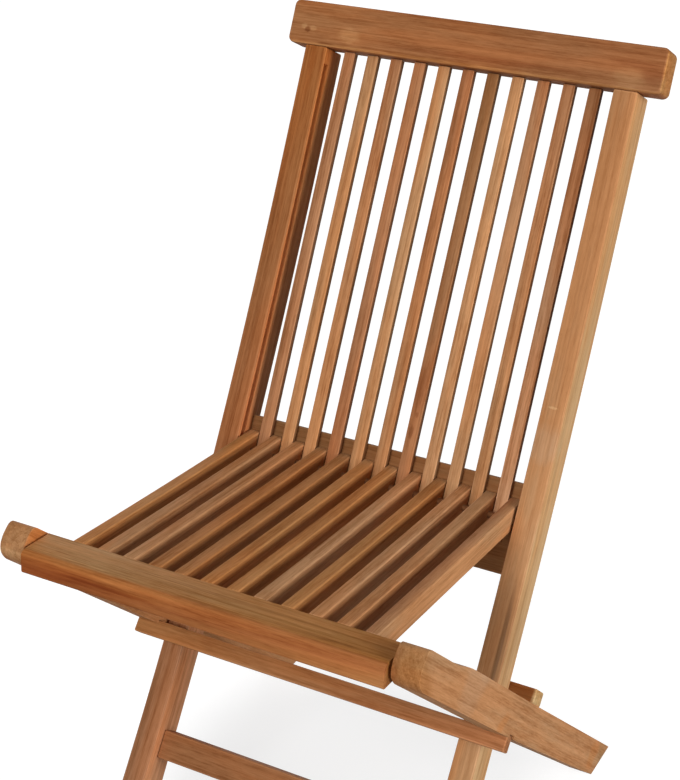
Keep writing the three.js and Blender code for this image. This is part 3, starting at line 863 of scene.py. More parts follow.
def along_post(point):
    """The place of a point in a board whose grain follows the bend of the post."""
    z = point.z
    for _ in range(bend_rounds):
        z += (point - post_front(z)).dot(post_up(z)) * post_up(z).z
    depth = (point - post_front(z)).dot(behind(post_up(z)))
    return Vector((z * bend_height / post_height, depth, point.x))


print("a point on the post's front lies", round(along_post(post_front(slat_level)).y, 6), "m deep")

# %% [markdown]
# ## Putting a piece in its place
# A finished piece stands for a solid of the chair, so that solid is hidden. It moves
# with the body that the solid belongs to.

# %% Put a piece in its place
fitted = []


def fit(piece, node, body, material):
    """The piece gets its finish, stands for a solid and moves with a body."""
    piece.data.materials.clear()
    piece.data.materials.append(material)
    shade(piece)
    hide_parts(node)
    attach(piece, body)
    fitted.append(piece.name)
    return piece


def fit_board(piece, node, body, tint, along, bend=None):
    """A board gets its grain too, and the teak with its marks if it has any."""
    note_grain(piece, tint, along, bend)
    return fit(piece, node, body, marked_teaks.get(piece.name, teak))


def copy_of(piece, name, shift=unmoved, mirrored=False):
    """A copy with its own mesh, moved along or mirrored across the chair."""
    take_up(piece)
    bpy.ops.object.duplicate(linked=False)
    twin = named(name)
    twin.location = shift
    if mirrored:
        twin.scale = (-1, 1, 1)
    settle(twin)
    return point_outwards(twin) if mirrored else twin


# %% [markdown]
# ## The bent posts
# Each post is one long board from the front foot up to the top rail. It is sawn to a
# gentle S and grows deeper towards the foot. A steel rod of the seat runs up a groove
# in its inner face when the chair folds, and the bolt of the crossed legs sits in a
# round recess. Sawing along the drawn front and back lines gives the bend. The foot
# is cut level with a bisect, and the groove and the recess are cut with Booleans.

# %% Saw the left post
post_steps = 28
floor_cut = 60 * mm
post_round = 2 * mm
groove_near = 4 * mm
groove_far = 13 * mm
groove_depth = 9 * mm
groove_low = 418 * mm
groove_high = 830 * mm
recess_radius = 7.3 * mm
recess_depth = 6 * mm
bolt_hole_radius = 4.1 * mm
spare = 5 * mm


def post_pairs(low, high, near_at, far_at, steps):
    """Pairs of points on two lines that follow the post between two heights."""
    heights = [low + (high - low) * step / steps for step in range(steps + 1)]
    return [(inside_post(z, near_at(z)), inside_post(z, far_at(z))) for z in heights]


def level_foot(piece):
    """Cuts off all that is under the floor and closes the cut."""
    take_up(piece)
    bpy.ops.object.mode_set(mode="EDIT")
    bpy.ops.mesh.select_all(action="SELECT")
    bpy.ops.mesh.bisect(plane_co=(0, 0, 0), plane_no=(0, 0, 1), use_fill=True, clear_inner=True)
    bpy.ops.object.mode_set(mode="OBJECT")
    return piece


post_lines = post_pairs(-floor_cut, post_height, lambda z: 0, post_depth_at, post_steps)
post = sawn_board("post_left", post_inner, post_inner + post_width, post_lines)
level_foot(post)
round_arrises(post, post_round)
groove_lines = post_pairs(
    groove_low, groove_high, lambda z: groove_near, lambda z: groove_far, post_steps)
recess_ends = (post_inner - spare, post_inner + recess_depth)
cut_away(post, sawn_board("groove", post_inner - spare, post_inner + groove_depth, groove_lines))
cut_away(post, rod_across("recess", pivot, recess_radius, *recess_ends))
cut_away(post, rod_across("hole", pivot, bolt_hole_radius, post_inner, chair_half + spare))
print("post", len(post.data.polygons), "faces")

# %% [markdown]
# The right post is a mirrored copy, sawn from another part of the log. Both boards change a little in
# colour from foot to head. The left one is lighter and yellower on its outer face and its arris, which
# is a painted highlight, and the right one is lighter on its inner face, except behind the groove, which
# is painted light. No texture is needed for that: the tint looks at where the point lies.

# %% Fit both posts
unchanged = (1, 1, 1, 1)
# Painted light: the left post's outer face, and the right post's inner face in front of the groove.
painted_outer_highlight = (1.25, 1.45, 1.52, 1)
painted_inner_light = (1.7, 1.7, 1.7, 1)
grain_up_post = (post_front(post_height) - post_front(0)).normalized()
left_tint = fading(golden_teak, tan_teak, post_height / 2, post_height)
right_tint = fading(clay_teak, orange_teak, 0, post_height)
right_post = copy_of(post, "post_right", mirrored=True)


def left_post_tint(point):
    """A painted highlight, lighter and yellower, on the outer face and its arris."""
    outer = point.x > chair_half - touch
    return relit(left_tint(point), painted_outer_highlight if outer else unchanged)


def right_post_tint(point):
    """Painted light on the inner face, apart from the part behind the groove."""
    depth = along_post(point).y
    reach = groove_depth if groove_near - touch < depth < groove_far + touch else 0
    inner = -point.x < post_inner + reach + touch
    in_front = depth < groove_far + touch or point.z < groove_low
    return relit(right_tint(point), painted_inner_light if inner and in_front else unchanged)


fit_board(post, "PostLeft", "BackFrame", left_post_tint, grain_up_post, along_post)
fit_board(right_post, "PostRight", "BackFrame", right_post_tint, grain_up_post, along_post)

# %% [markdown]
# ## The rails of the back
# The top rail caps both posts and the slats, and its corners are rounded off. The
# wide lower rail lies behind the slats, and the stretcher joins the posts low down.
# They are straight planks, so a cube at the right size and slope is the start. The
# top rail's four corners are picked by their direction and bevelled first.

# %% A plank on a slope
def plank(name, low_x, high_x, corner, up, height, depth):
    """A plank across X from its lower front edge, as high and deep as given."""
    middle = corner + up * height / 2 + behind(up) * depth / 2
    middle.x = (low_x + high_x) / 2
    let_go()
    bpy.ops.mesh.primitive_cube_add(
        size=1, location=middle, rotation=(math.atan2(up.z, up.y) - quarter_turn, 0, 0),
        scale=(high_x - low_x, depth, height))
    return settle(named(name))


def bevel_edges_along(piece, direction, offset, segments):
    """Rounds just the edges that run along one direction."""
    take_up(piece)
    bpy.ops.object.mode_set(mode="EDIT")

    def runs_along(edge):
        line = (edge.verts[1].co - edge.verts[0].co).normalized()
        return abs(line.dot(direction)) > same_way_cosine

    pick(piece, "EDGE", runs_along)
    bpy.ops.mesh.bevel(offset=offset, segments=segments, affect="EDGES")
    bpy.ops.object.mode_set(mode="OBJECT")
    return piece


top_rail_half = 226.5 * mm
top_rail_height = 50.2 * mm
top_rail_depth = 34 * mm
top_rail_corner = 7 * mm
top_rail_round = 3 * mm
corner_segments = 6

top_up = post_up(post_height)
top_rail_low = post_front(post_height) + top_up * joint_gap
top_rail = plank("top_rail", -top_rail_half, top_rail_half, top_rail_low, top_up,
                 top_rail_height, top_rail_depth)
bevel_edges_along(top_rail, behind(top_up), top_rail_corner, corner_segments)
round_arrises(top_rail, top_rail_round)
top_rail_tint = fading(amber_brown, dim_brown, -top_rail_half, top_rail_half, axis=0)
fit_board(top_rail, "TopRail", "BackFrame", top_rail_tint, across_chair)
print("top rail", len(top_rail.data.polygons), "faces")

# %% The lower back rail with its screw holes
lower_rail_top = 454.5 * mm
lower_rail_height = 102 * mm
lower_rail_depth = 12 * mm
slat_depth = 8.5 * mm
slat_round = 1.5 * mm
screw_share = 0.45
slat_pitch = 30 * mm
back_slat_count = 11
screw_head_radius = 3.7 * mm
screw_hole_depth = 3 * mm
hole_sides = 24
rail_end = post_inner - joint_gap

lower_corner = on_slat_line(lower_rail_top, slat_depth + joint_gap) - slat_up * lower_rail_height
lower_rail = plank("lower_back_rail", -rail_end, rail_end, lower_corner, slat_up,
                   lower_rail_height, lower_rail_depth - joint_gap)
round_arrises(lower_rail, slat_round)
screw_drop = slat_up * lower_rail_height * screw_share
screw_line = on_slat_line(lower_rail_top, slat_depth + lower_rail_depth) - screw_drop


def slat_middle(index, count):
    """Where the middle of one slat lies across the chair, out of so many."""
    return slat_pitch * (index - (count - 1) / 2)


def sunk_hole(piece, point, x, into):
    """A round hole with a flat floor for a screw's head, cut from a point inwards."""
    middle = point + into * (screw_hole_depth / 2 - spare / 2)
    middle.x = x
    let_go()
    bpy.ops.mesh.primitive_cylinder_add(
        vertices=hole_sides, radius=screw_head_radius, depth=screw_hole_depth + spare,
        location=middle, rotation=(math.atan2(into.z, into.y) - quarter_turn, 0, 0))
    return cut_away(piece, settle(bpy.context.object))


for slat_index in range(back_slat_count):
    sunk_hole(lower_rail, screw_line, slat_middle(slat_index, back_slat_count), -slat_back)
fit_board(lower_rail, "LowerBackRail", "BackFrame", dark_teak, across_chair)
print("lower rail", len(lower_rail.data.polygons), "faces")

# %% The stretcher
stretcher_level = 118.5 * mm
stretcher_height = 32.5 * mm
stretcher_depth = 20 * mm
stretcher_inset = 14 * mm

stretcher = plank("stretcher", -rail_end, rail_end,
                  inside_post(stretcher_level, stretcher_inset), post_up(stretcher_level),
                  stretcher_height, stretcher_depth)
round_arrises(stretcher, post_round)
fit_board(stretcher, "Stretcher", "BackFrame", dim_brown, across_chair)
print("stretcher", len(stretcher.data.polygons), "faces")

# %% [markdown]
# ## The back slats
# Eleven thin straight slats run from the lower rail up into the top rail. They are alike in shape and
# differ in colour, so one slat is modelled and copied. Each copy is given its own board number and two
# colours, one for its foot and one for its head. Its left side carries painted shade and its left
# arrises a painted highlight, and one slat has knots.

# %% Model one back slat and copy it
back_slat_half = 7 * mm
slat_arris = 0.9 * mm
slat_low_cut = 34 * mm
# Painted shade on each slat's left side, and a painted highlight on its left arrises.
painted_side_shade = (0.6, 0.6, 0.6, 1)
painted_arris_highlight = (1.15, 1.15, 1.15, 1)
back_slat_teaks = [
    (brown_teak, brown_teak), (tan_teak, tan_teak), (golden_teak, brown_teak),
    (red_teak, brown_teak), (golden_teak, tan_teak), (tan_teak, red_teak),
    (brown_teak, dark_teak), (pale_teak, golden_teak), (golden_teak, brown_teak),
    # The last slat's blond foot is painted light where the left post shades it.
    (golden_teak, brown_teak), (lit_blond_teak, dim_brown)]


def copies_across(piece, count):
    """Numbered copies of a piece, one for each slat; the piece itself is thrown away."""
    copies = [copy_of(piece, f"{piece.name}_{index + 1:02d}", (slat_middle(index, count), 0, 0))
              for index in range(count)]
    bpy.data.objects.remove(piece)
    return copies


def back_slat_tint(index):
    """The tint of one back slat: two colours, a painted highlight on its left arrises and painted shade
    on its left side.
    """
    foot_teak, head_teak = back_slat_teaks[index]
    face_tint = fading(foot_teak, head_teak, slat_low.z, post_height)
    side_x = slat_middle(index, back_slat_count) + back_slat_half

    def tint_at(point):
        inset = side_x - point.x
        if inset < touch:
            return relit(face_tint(point), painted_side_shade)
        return relit(face_tint(point), painted_arris_highlight if inset < slat_arris + touch else unchanged)

    return tint_at


slat_low = on_slat_line(lower_rail_top, 0) + slat_up * (slat_low_cut - lower_rail_height)
slat_length = (slat_head - slat_low).dot(slat_up) - joint_gap
back_slat = plank("back_slat", -back_slat_half, back_slat_half, slat_low, slat_up,
                  slat_length, slat_depth)
round_arrises(back_slat, slat_arris)
for index, slat in enumerate(copies_across(back_slat, back_slat_count)):
    fit_board(slat, f"BackSlat{index + 1:02d}", "BackFrame", back_slat_tint(index), slat_up)
print(back_slat_count, "back slats")

# %% [markdown]
# ## The crossing legs
# The legs lie outside the posts and run from the seat's front corners down to the
# rear feet. They are straight boards with a slim front end, a rounded nose and a
# taper at the foot, so they are sawn like the posts, from pairs of points along the
# leg. The nose is a curve whose two halves close on each other.

# %% The nose of a leg
leg_upper_front = 20.5 * mm
leg_lower_front = 17.5 * mm
nose_tip = 339 * mm
nose_chin = 321 * mm
nose_round = 7 * mm
nose_bulge = 348 * mm
nose_drop = 15 * mm
brow_steps = 5
nose_steps = 14


def nose_pairs():
    """Pairs that run in from both ends of the nose towards its middle."""
    brow = on_leg(nose_tip - nose_round, leg_upper_front)
    tip = on_leg(nose_tip, leg_upper_front)
    bulge = on_leg(nose_bulge, -nose_drop)
    chin = on_leg(nose_chin, -leg_lower_front)
    nose = tip + (bulge - tip).normalized() * nose_round
    line = [curve(brow, tip, nose, step / brow_steps) for step in range(brow_steps)]
    line += [curve(nose, bulge, chin, step / nose_steps) for step in range(nose_steps + 1)]
    half = len(line) // 2
    return list(zip(line[:half], reversed(line[half:])))


print("the nose has", len(nose_pairs()), "pairs of points")

# %% Saw the left leg
leg_upper = 25 * mm
leg_upper_foot = 27.5 * mm
leg_lower = 19 * mm
leg_lower_foot = 13 * mm
hump_start = 199 * mm
hump_end = 266 * mm
leg_round = 3 * mm
leg_steps = 8
hump_steps = 8
foot_reach = pivot.z / math.sin(leg_tilt) + floor_cut


def lower_edge(forward):
    """The lower edge of the leg at one place along it."""
    if forward < 0:
        return -leg_lower - (leg_lower_foot - leg_lower) * -forward / foot_reach
    return -leg_lower - (leg_lower_front - leg_lower) * forward / nose_chin


def leg_pair(forward, upper):
    """An upper and a lower point of the leg at one place along it."""
    return on_leg(forward, upper), on_leg(forward, lower_edge(forward))


def leg_pairs():
    """Upper and lower points of the leg, from under the floor to the nose."""
    pairs = []
    for step in range(leg_steps + 1):
        forward = -foot_reach * (1 - step / leg_steps)
        upper = leg_upper + (leg_upper_foot - leg_upper) * -forward / foot_reach
        pairs.append(leg_pair(forward, upper))
    middle = (hump_start + hump_end) / 2
    for step in range(hump_steps + 1):
        share = step / hump_steps
        rest = 1 - share
        bend = 3 * middle * share * rest**2 + 3 * middle * share**2 * rest
        forward = hump_start * rest**3 + bend + hump_end * share**3
        upper = leg_upper + (leg_upper_front - leg_upper) * (3 * share**2 - 2 * share**3)
        pairs.append(leg_pair(forward, upper))
    return pairs + nose_pairs()


leg = sawn_board("leg_left", leg_inner, leg_outer, leg_pairs())
level_foot(leg)
round_arrises(leg, leg_round)
print("leg", len(leg.data.polygons), "faces")

# %% Let the stop rail into the leg and drill it
stop_rail_back = 15.294 * mm
stop_rail_depth = 15.5 * mm
stop_rail_height = 19.5 * mm
stop_rail_housing = 3.5 * mm
insert_radius = 6.58 * mm
insert_length = 16 * mm
pin_radius = 4 * mm
pin_reach = 18 * mm
turn_slack = 0.08 * mm

stop_rail_low = stop_rail_housing - leg_lower - stop_rail_height
notch = plank("notch", leg_inner - spare, leg_outer + spare,
              on_leg(stop_rail_back + stop_rail_depth + joint_gap, stop_rail_low), leg_over,
              stop_rail_height + joint_gap, stop_rail_depth + 2 * joint_gap)
cut_away(leg, notch)
insert_ends = (leg_inner - spare, leg_inner + insert_length)
pin_ends = (leg_inner - spare, leg_inner + pin_reach)
cut_away(leg, rod_across("insert hole", pivot, insert_radius, *insert_ends))
cut_away(leg, rod_across("pin hole", hinge, pin_radius + turn_slack, *pin_ends))
right_leg = copy_of(leg, "leg_right", mirrored=True)
fit_board(leg, "LegLeft", "LegFrame", golden_teak, leg_forward)
fit_board(right_leg, "LegRight", "LegFrame", tan_teak, leg_forward)
print("legs with", len(leg.data.polygons), "faces")

# %% [markdown]
# ## The cross rails of the leg frame
# The front rail is let into the undersides of the legs and stops the posts when the
# chair opens. The rear rail lies on top of the legs. Both are straight planks on the
# legs' slope, with a countersunk hole over each leg.

# %% Make both cross rails
cross_rail_half = 232 * mm
rear_rail_front = -22.313 * mm
rear_rail_depth = 27.5 * mm
rear_rail_height = 16.5 * mm
cross_rail_round = 1.8 * mm
rail_screw_x = leg_inner + leg_thickness / 2


def cross_rail(name, front, low, height, depth, screws_into):
    """A rail across the legs, with the screw holes on one of its faces."""
    rail = plank(name, -cross_rail_half, cross_rail_half, on_leg(front, low), leg_over,
                 height, depth)
    round_arrises(rail, cross_rail_round)
    level = low if screws_into.dot(leg_over) > 0 else low + height
    for x in (rail_screw_x, -rail_screw_x):
        sunk_hole(rail, on_leg(front - depth / 2, level), x, screws_into)
    return rail


rear_rail_low = leg_upper + joint_gap
stop_rail = cross_rail("front_cross_rail", stop_rail_back + stop_rail_depth, stop_rail_low,
                       stop_rail_height, stop_rail_depth, leg_over)
rear_rail = cross_rail("rear_cross_rail", rear_rail_front, rear_rail_low,
                       rear_rail_height, rear_rail_depth, -leg_over)
stop_rail_tint = fading(nut_teak, brown_teak, -cross_rail_half, 0, axis=0)
fit_board(stop_rail, "FrontCrossRail", "LegFrame", stop_rail_tint, across_chair)
fit_board(rear_rail, "RearCrossRail", "LegFrame", umber_teak, across_chair)
print("cross rails", len(stop_rail.data.polygons), "and", len(rear_rail.data.polygons), "faces")

# %% [markdown]
# ## The seat
# The seat's front rail has a rounded nose for the back of the knees. Its slats are deep and narrow, a
# little hollow on top, and cut at the rear to the slope of the back. All are sawn from pairs of points
# in the seat's own drawing. The rail is olive on top, and its rounded front is gold above and rust
# below, both browner to the left; the gold above is partly the board's colour and partly a painted
# highlight where the round turns up to the light.

# %% The seat's front rail
rail_front = 31.5 * mm
rail_back = 14 * mm
rail_thickness = 25.2 * mm
rail_nose = 12 * mm
rail_chin = 4 * mm
seat_top = 14.8 * mm
curve_steps = 6
nose_fade_share = -1 / 5
chin_fade_shares = (-1 / 2, 1 / 4)


def seat_rail_pairs():
    """Lower and upper points of the front rail, from its front face to the slats."""
    low = seat_top - rail_thickness
    brow = [on_seat(-rail_front, seat_top - rail_nose / 2), on_seat(-rail_front, seat_top),
            on_seat(-rail_front + rail_nose, seat_top)]
    chin = [on_seat(-rail_front, low + rail_chin), on_seat(-rail_front, low),
            on_seat(-rail_front + rail_chin, low)]
    shares = [step / curve_steps for step in range(curve_steps + 1)]
    pairs = [(curve(*chin, share), curve(*brow, share)) for share in shares]
    return pairs + [(on_seat(rail_back, low), on_seat(rail_back, seat_top))]


seat_rail = sawn_board("seat_front_rail", -chair_half, chair_half, seat_rail_pairs())
round_arrises(seat_rail, post_round)
for sign in (1, -1):
    pin_ends = sorted((sign * (chair_half - pin_reach), sign * (chair_half + spare)))
    cut_away(seat_rail, rod_across("pin hole", hinge, pin_radius + turn_slack, *pin_ends))

chin_fade = [share * chair_half for share in chin_fade_shares]
top_tint = fading(olive_teak, moss_teak, -chair_half, chair_half, axis=0)
# The gold on the rail's upper round is partly its own colour and partly a painted highlight.
nose_gilt_and_highlight_tint = fading(gilt_and_highlight_teak, amber_brown, -chair_half, nose_fade_share * chair_half, axis=0)
chin_tint = fading(rust_teak, nut_teak, *chin_fade, axis=0)


def rail_tint(point):
    """Olive on top of the rail, and gold with a painted highlight above rust over its rounded front."""
    away = point - hinge
    if away.dot(seat_back) > rail_nose / 2 - rail_front:
        return top_tint(point)
    return nose_gilt_and_highlight_tint(point) if away.dot(seat_up) > 0 else chin_tint(point)


fit_board(seat_rail, "SeatFrontRail", "Seat", rail_tint, across_chair)
print("seat rail", len(seat_rail.data.polygons), "faces")

# %% [markdown]
# Most seat slats have one colour that turns golden behind the rod. Two grow paler from the front to the
# middle, and the outermost one on the left is golden outside, which is painted light on the side that
# faces the key lamp.

# %% Model one seat slat and copy it
seat_slat_count = 12
seat_slat_half = 7 * mm
seat_slat_height = 26 * mm
seat_sag = 1.2 * mm
seat_rear_depth = 5 * mm
seat_slat_steps = 16
pale_reach_share = 0.5
rear_fade = 30 * mm
rod_radius = 4 * mm
rod_center = side(52.086 * mm, 422.395 * mm)
outer_middle = slat_middle(seat_slat_count - 1, seat_slat_count)
paler_tint = fading(tan_teak, pale_teak, hinge.y, hinge.y * pale_reach_share, axis=1)
# The outermost slat's golden outer side is painted light where it faces the key lamp.
painted_lit_outer_tint = fading(brown_teak, golden_teak, outer_middle, outer_middle + seat_slat_half, axis=0)
seat_slat_teaks = [honey_teak, tan_teak, tan_teak, nut_teak, nut_teak, honey_teak,
                   honey_teak, paler_tint, honey_teak, paler_tint, tan_teak, painted_lit_outer_tint]


def rear_at(upward):
    """How far back a seat slat reaches at one level, just short of the back slats."""
    line = on_slat_line(slat_level, seat_rear_depth) - hinge
    return (line + slat_up * ((upward - line.dot(seat_up)) / slat_up.dot(seat_up))).dot(seat_back)


def seat_slat_pairs():
    """Lower and upper points of a seat slat, from the front rail to its rear end."""
    low = seat_top - seat_slat_height
    front = rail_back + joint_gap
    pairs = []
    for step in range(seat_slat_steps + 1):
        share = step / seat_slat_steps
        sag = seat_sag * 4 * share * (1 - share)
        lower_place = front + (rear_at(low) - front) * share
        upper_place = front + (rear_at(seat_top) - front) * share
        pairs.append((on_seat(lower_place, low), on_seat(upper_place, seat_top - sag)))
    return pairs


seat_slat = sawn_board("seat_slat", -seat_slat_half, seat_slat_half, seat_slat_pairs())
round_arrises(seat_slat, slat_round)
rod_hole = rod_across("rod hole", rod_center, rod_radius + turn_slack, -spare * 2, spare * 2)
cut_away(seat_slat, rod_hole)
for index, slat in enumerate(copies_across(seat_slat, seat_slat_count)):
    slat_tint = seat_slat_teaks[index]
    if not callable(slat_tint):
        slat_tint = fading(slat_tint, golden_teak, rod_center.y, rod_center.y + rear_fade, axis=1)
    fit_board(slat, f"SeatSlat{index + 1:02d}", "Seat", slat_tint, seat_back)
print(seat_slat_count, "seat slats")

# %% [markdown]
# ## Metal
# Little metal shows: a rod under the seat, two bolts, four washers, and the screws
# behind the slats. Turned metal is never quite clean, so its roughness and tone vary
# with fine noise in the piece's own space, and brass outdoors turns a little dull.

# %% Steel and brass
dull_layer = ((180, 180, 180), unmoved, 4, 0.6)
dull_limits = (0.35, 0.7)
dull_roughness = 0.25
brushed_layer = ((300, 2600, 2600), unmoved, 3, 0.55)
metal_bump = {"Strength": 0.2, "Distance": 0.1 * mm}


def metal_material(name, light, dark, roughness):
    """Turned metal with fine brushed noise and dull spots."""
    material, tree, surface = new_material(name)
    place = on_piece(tree)
    dull = noise(tree, place, dull_layer)
    brushed = noise(tree, place, brushed_layer)
    colour = mixed(tree, between(tree, dull, dull_limits), light, dark)
    tree.links.new(colour, surface.inputs["Base Color"])
    rough = math_node(tree, "ADD", roughness, math_node(tree, "MULTIPLY", dull, dull_roughness))
    roughen(tree, surface, rough, brushed, metal_bump)
    surface.inputs["Metallic"].default_value = 1.0
    return material


steel = metal_material("zinc_steel", paint(196, 198, 200), paint(150, 152, 155), 0.25)
brass = metal_material("dull_brass", paint(205, 170, 104), paint(150, 118, 66), 0.28)
dark_steel = metal_material("weathered_steel", paint(128, 84, 54), paint(96, 62, 40), 0.6)
print("made", steel.name, brass.name, "and", dark_steel.name)

# %% The rod through the seat slats
rod_half = 173 * mm
rod_chamfer = 0.6 * mm
seat_rod = rod_across("seat_rod", rod_center, rod_radius, -rod_half, rod_half)
round_arrises(seat_rod, rod_chamfer, rim_segments, rim_angle)
fit(seat_rod, "SeatRod", "Seat", dark_steel)
print("rod", len(seat_rod.data.polygons), "faces")

# %% Washers between the boards that turn
washer_radius = 11 * mm
washer_hole = 4.1 * mm
washer_slack = 0.3 * mm
washer_chamfer = 0.4 * mm


def fit_both_sides(piece, node, body, material):
    """Fits a piece on the left, and a mirrored copy of it on the right."""
    twin = copy_of(piece, piece.name.replace("left", "right"), mirrored=True)
    fit(piece, f"{node}Left", body, material)
    fit(twin, f"{node}Right", body, material)


def washer(name, center):
    """A flat brass ring with its rims taken off, between a leg and what it turns on."""
    low_x, high_x = chair_half + washer_slack, leg_inner - washer_slack
    ring = rod_across(name, center, washer_radius, low_x, high_x)
    cut_away(ring, rod_across("washer hole", center, washer_hole, low_x - spare, high_x + spare))
    return round_arrises(ring, washer_chamfer, rim_segments, rim_angle)


fit_both_sides(washer("pivot_washer_left", pivot), "PivotWasher", "LegFrame", brass)
fit_both_sides(washer("seat_washer_left", hinge), "SeatWasher", "Seat", brass)
print("washers", round((leg_gap - 2 * washer_slack) / mm, 1), "mm thick")

# %% Pivot bolts with a hexagon socket in a domed head
bolt_radius = 4 * mm
bolt_head_radius = 7 * mm
bolt_head_low = 0.7 * mm
bolt_head_height = 5 * mm
bolt_reach = 22 * mm
socket_radius = 2.9 * mm
socket_depth = 2.6 * mm
socket_sides = 6


def pivot_bolt(name):
    """A bolt on the left: a shank, a head rounded by a bevel and a six-sided socket."""
    head_low = post_inner + bolt_head_low
    head_high = head_low + bolt_head_height
    bolt = rod_across(name, pivot, bolt_head_radius, head_low, head_high)
    take_up(bolt)
    bpy.ops.object.mode_set(mode="EDIT")
    pick(bolt, "FACE", lambda face: face.normal.x > same_way_cosine)
    bpy.ops.mesh.inset(thickness=bolt_head_radius - bolt_radius)
    reach = leg_inner + bolt_reach - head_high
    bpy.ops.mesh.extrude_region_move(TRANSFORM_OT_translate={"value": (reach, 0, 0)})
    bpy.ops.object.mode_set(mode="OBJECT")
    round_arrises(bolt, rod_chamfer, angle=rim_angle)
    socket_ends = (head_low - spare, head_low + socket_depth)
    return cut_away(bolt, rod_across("socket", pivot, socket_radius, *socket_ends, sides=socket_sides))


bolt = pivot_bolt("pivot_bolt_left")
fit_both_sides(bolt, "PivotBolt", "LegFrame", steel)
print("bolts with", len(bolt.data.polygons), "faces")

# %% Countersunk screws with a crossed slot
screw_radius = 1.75 * mm
head_radius = 3.6 * mm
head_height = 2.4 * mm
head_sides = 32
slot_width = 0.7 * mm
slot_depth = 1.1 * mm
slot_length = 4.2 * mm


def screw(name, start, into, length):
    """A screw from its sunk head down into the wood, along one direction."""
    turn = (math.atan2(into.z, into.y) + quarter_turn, 0, 0)
    let_go()
    bpy.ops.mesh.primitive_cone_add(
        vertices=head_sides, radius1=screw_radius, radius2=head_radius, depth=head_height,
        location=start + into * (joint_gap + head_height / 2), rotation=turn)
    piece = settle(named(name))
    bpy.ops.object.mode_set(mode="EDIT")
    pick(piece, "FACE", lambda face: face.normal.dot(into) > same_way_cosine)
    shank = into * (length - head_height)
    bpy.ops.mesh.extrude_region_move(TRANSFORM_OT_translate={"value": shank})
    bpy.ops.object.mode_set(mode="OBJECT")
    for slot_size in ((slot_length, slot_width), (slot_width, slot_length)):
        let_go()
        bpy.ops.mesh.primitive_cube_add(
            size=1, location=start, rotation=turn, scale=(*slot_size, 2 * (slot_depth + joint_gap)))
        cut_away(piece, settle(bpy.context.object))
    return piece


slat_screw_length = 18 * mm
slat_screw = screw("slat_screw", screw_line, -slat_back, slat_screw_length)
for index, slat_screw_copy in enumerate(copies_across(slat_screw, back_slat_count)):
    fit(slat_screw_copy, f"SlatScrew{index + 1:02d}", "BackFrame", brass)
print(back_slat_count, "slat screws")

# %% The screws of the cross rails
rail_screw_length = 34 * mm
screw_places = {
    "front": (on_leg(stop_rail_back + stop_rail_depth / 2, stop_rail_low), leg_over),
    "rear": (on_leg(rear_rail_front - rear_rail_depth / 2, rear_rail_low + rear_rail_height), -leg_over),
}
for label, (start, into) in screw_places.items():
    rail_screw = screw("rail_screw", start, into, rail_screw_length)
    for hand, x in (("left", rail_screw_x), ("right", -rail_screw_x)):
        one_screw = copy_of(rail_screw, f"{label}_rail_screw_{hand}", (x, 0, 0))
        fit(one_screw, f"{label.title()}RailScrew{hand.title()}", "LegFrame", brass)
    bpy.data.objects.remove(rail_screw)
print("rail screws", rail_screw_length / mm, "mm long")

# %% [markdown]
# ## Metal parts that are hidden
# The threaded sleeves and the hinge pins sit inside the wood. Their solids already
# have the right shape, so they stay as they are and only get the better metal.

# %% Finish the hidden metal
hidden_metal = {"PivotInsertLeft": brass, "PivotInsertRight": brass,
                "SeatPinLeft": steel, "SeatPinRight": steel}
for node_name, metal in hidden_metal.items():
    for material_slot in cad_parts[node_name].material_slots:
        material_slot.material = metal
print("finished", sorted(hidden_metal))

# %% [markdown]
# ## Floor, backdrop and light
# The chair stands on a plain pale floor that fades into a white backdrop. More light would burn out the
# wood, so the white is a colour: camera rays that miss the chair see a white world, and the floor adds a
# pale glow of its own for camera rays only, on which the chair's soft shadow stays visible. The floor
# glows less in a disc under the chair, which is a painted shadow. A large lamp far to the right gives
# the wood its form, a second lights it from the front and above, and a weak one lights its back. The
# world adds little, so that the gaps between the slats stay dark.

# %% White for the camera
def seen_directly(tree):
    """One for camera rays and for what metal or glass shows, else zero."""
    path = add_node(tree, "ShaderNodeLightPath").outputs
    seen_or_shown = math_node(tree, "MAXIMUM", path["Is Camera Ray"], path["Is Glossy Ray"])
    return math_node(tree, "MAXIMUM", seen_or_shown, path["Is Transmission Ray"])


world_fill = 0.13
world = bpy.data.worlds.new("studio")
world.use_nodes = True
bpy.context.scene.world = world
sky = world.node_tree
fill = add_node(sky, "ShaderNodeBackground", None, {"Color": plain_white, "Strength": world_fill})
white = add_node(sky, "ShaderNodeBackground", None, {"Color": plain_white, "Strength": 1.0})
either = add_node(sky, "ShaderNodeMixShader", None, {
    0: seen_directly(sky), 1: fill.outputs[0], 2: white.outputs[0]})
sky.links.new(either.outputs[0], sky.nodes["World Output"].inputs["Surface"])
print("world fill", world_fill)

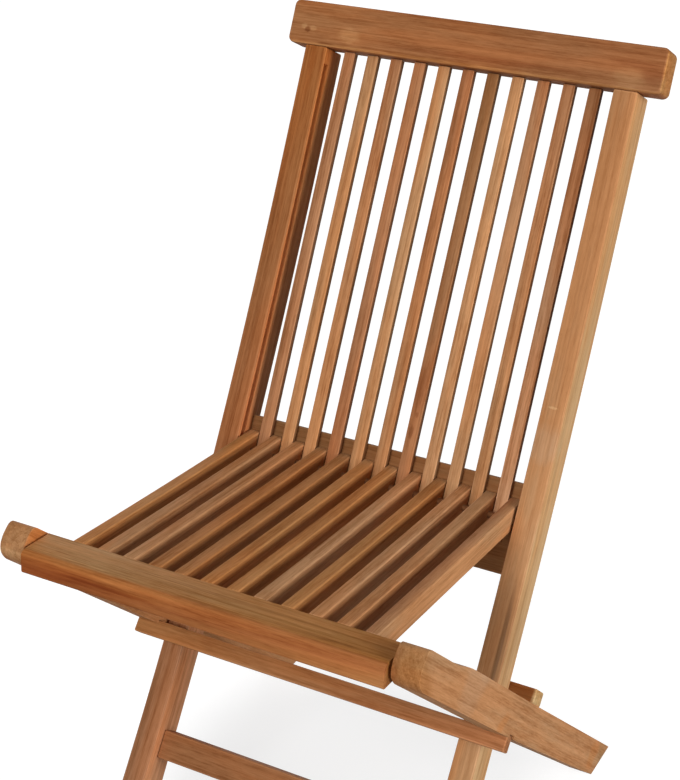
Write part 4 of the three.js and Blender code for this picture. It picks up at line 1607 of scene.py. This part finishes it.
# %% The floor
floor_size = 12
floor_drop = 0.2 * mm
floor_grey = 0.30
floor_look = {"Base Color": (floor_grey, floor_grey, floor_grey, 1), "Roughness": 1.0,
              "Specular IOR Level": 0.0}
floor_glow = 0.89
painted_shadow_glow = 0.72
painted_shadow_middle = (-0.02, 0.05, 0)
painted_shadow_near = 0.16
painted_shadow_far = 0.31

let_go()
bpy.ops.mesh.primitive_plane_add(size=floor_size, location=(0, 0, -floor_drop))
floor = named("floor")
floor_paint, tree, surface = new_material("floor_paint")
for socket_name, value in floor_look.items():
    surface.inputs[socket_name].default_value = value
# The glow dips in a disc under the chair: a painted shadow.
from_middle = add_node(tree, "ShaderNodeVectorMath", {"operation": "DISTANCE"}, {
    0: on_piece(tree), 1: painted_shadow_middle})
glow_with_painted_shadow = between(tree, from_middle.outputs["Value"], (painted_shadow_near, painted_shadow_far),
                    (painted_shadow_glow, floor_glow))
glow = add_node(tree, "ShaderNodeEmission", None, {
    "Color": plain_white, "Strength": math_node(tree, "MULTIPLY", seen_directly(tree), glow_with_painted_shadow)})
both = add_node(tree, "ShaderNodeAddShader", None, {0: surface.outputs[0], 1: glow.outputs[0]})
tree.links.new(both.outputs[0], tree.nodes["Material Output"].inputs["Surface"])
floor.data.materials.append(floor_paint)
print("floor", floor_size, "m wide")

# %% The lamps
chair_middle = Vector((0, 0, 0.5))
lamps = {
    "key": ((6.9, -0.8, 2.0), 3.6, 345),
    "front fill": ((-0.1, -5.8, 3.9), 3.2, 300),
    "back fill": ((-2.5, 6.4, 1.6), 4.0, 150),
}


def add_lamp(name, place, size, power):
    """A large square soft lamp, aimed at the middle of the chair."""
    let_go()
    bpy.ops.object.light_add(type="AREA", location=place)
    lamp = named(name)
    lamp.rotation_euler = (chair_middle - Vector(place)).to_track_quat("-Z", "Y").to_euler()
    lamp.data.size = size
    lamp.data.energy = power


for name, (place, size, power) in lamps.items():
    add_lamp(name, place, size, power)
print("lamps:", ", ".join(lamps))

# %% [markdown]
# ## The end
# The view is shown as it is written, with no film look.

# %% Standard view
bpy.context.scene.view_settings.view_transform = "Standard"


print("pieces made:", len(fitted))
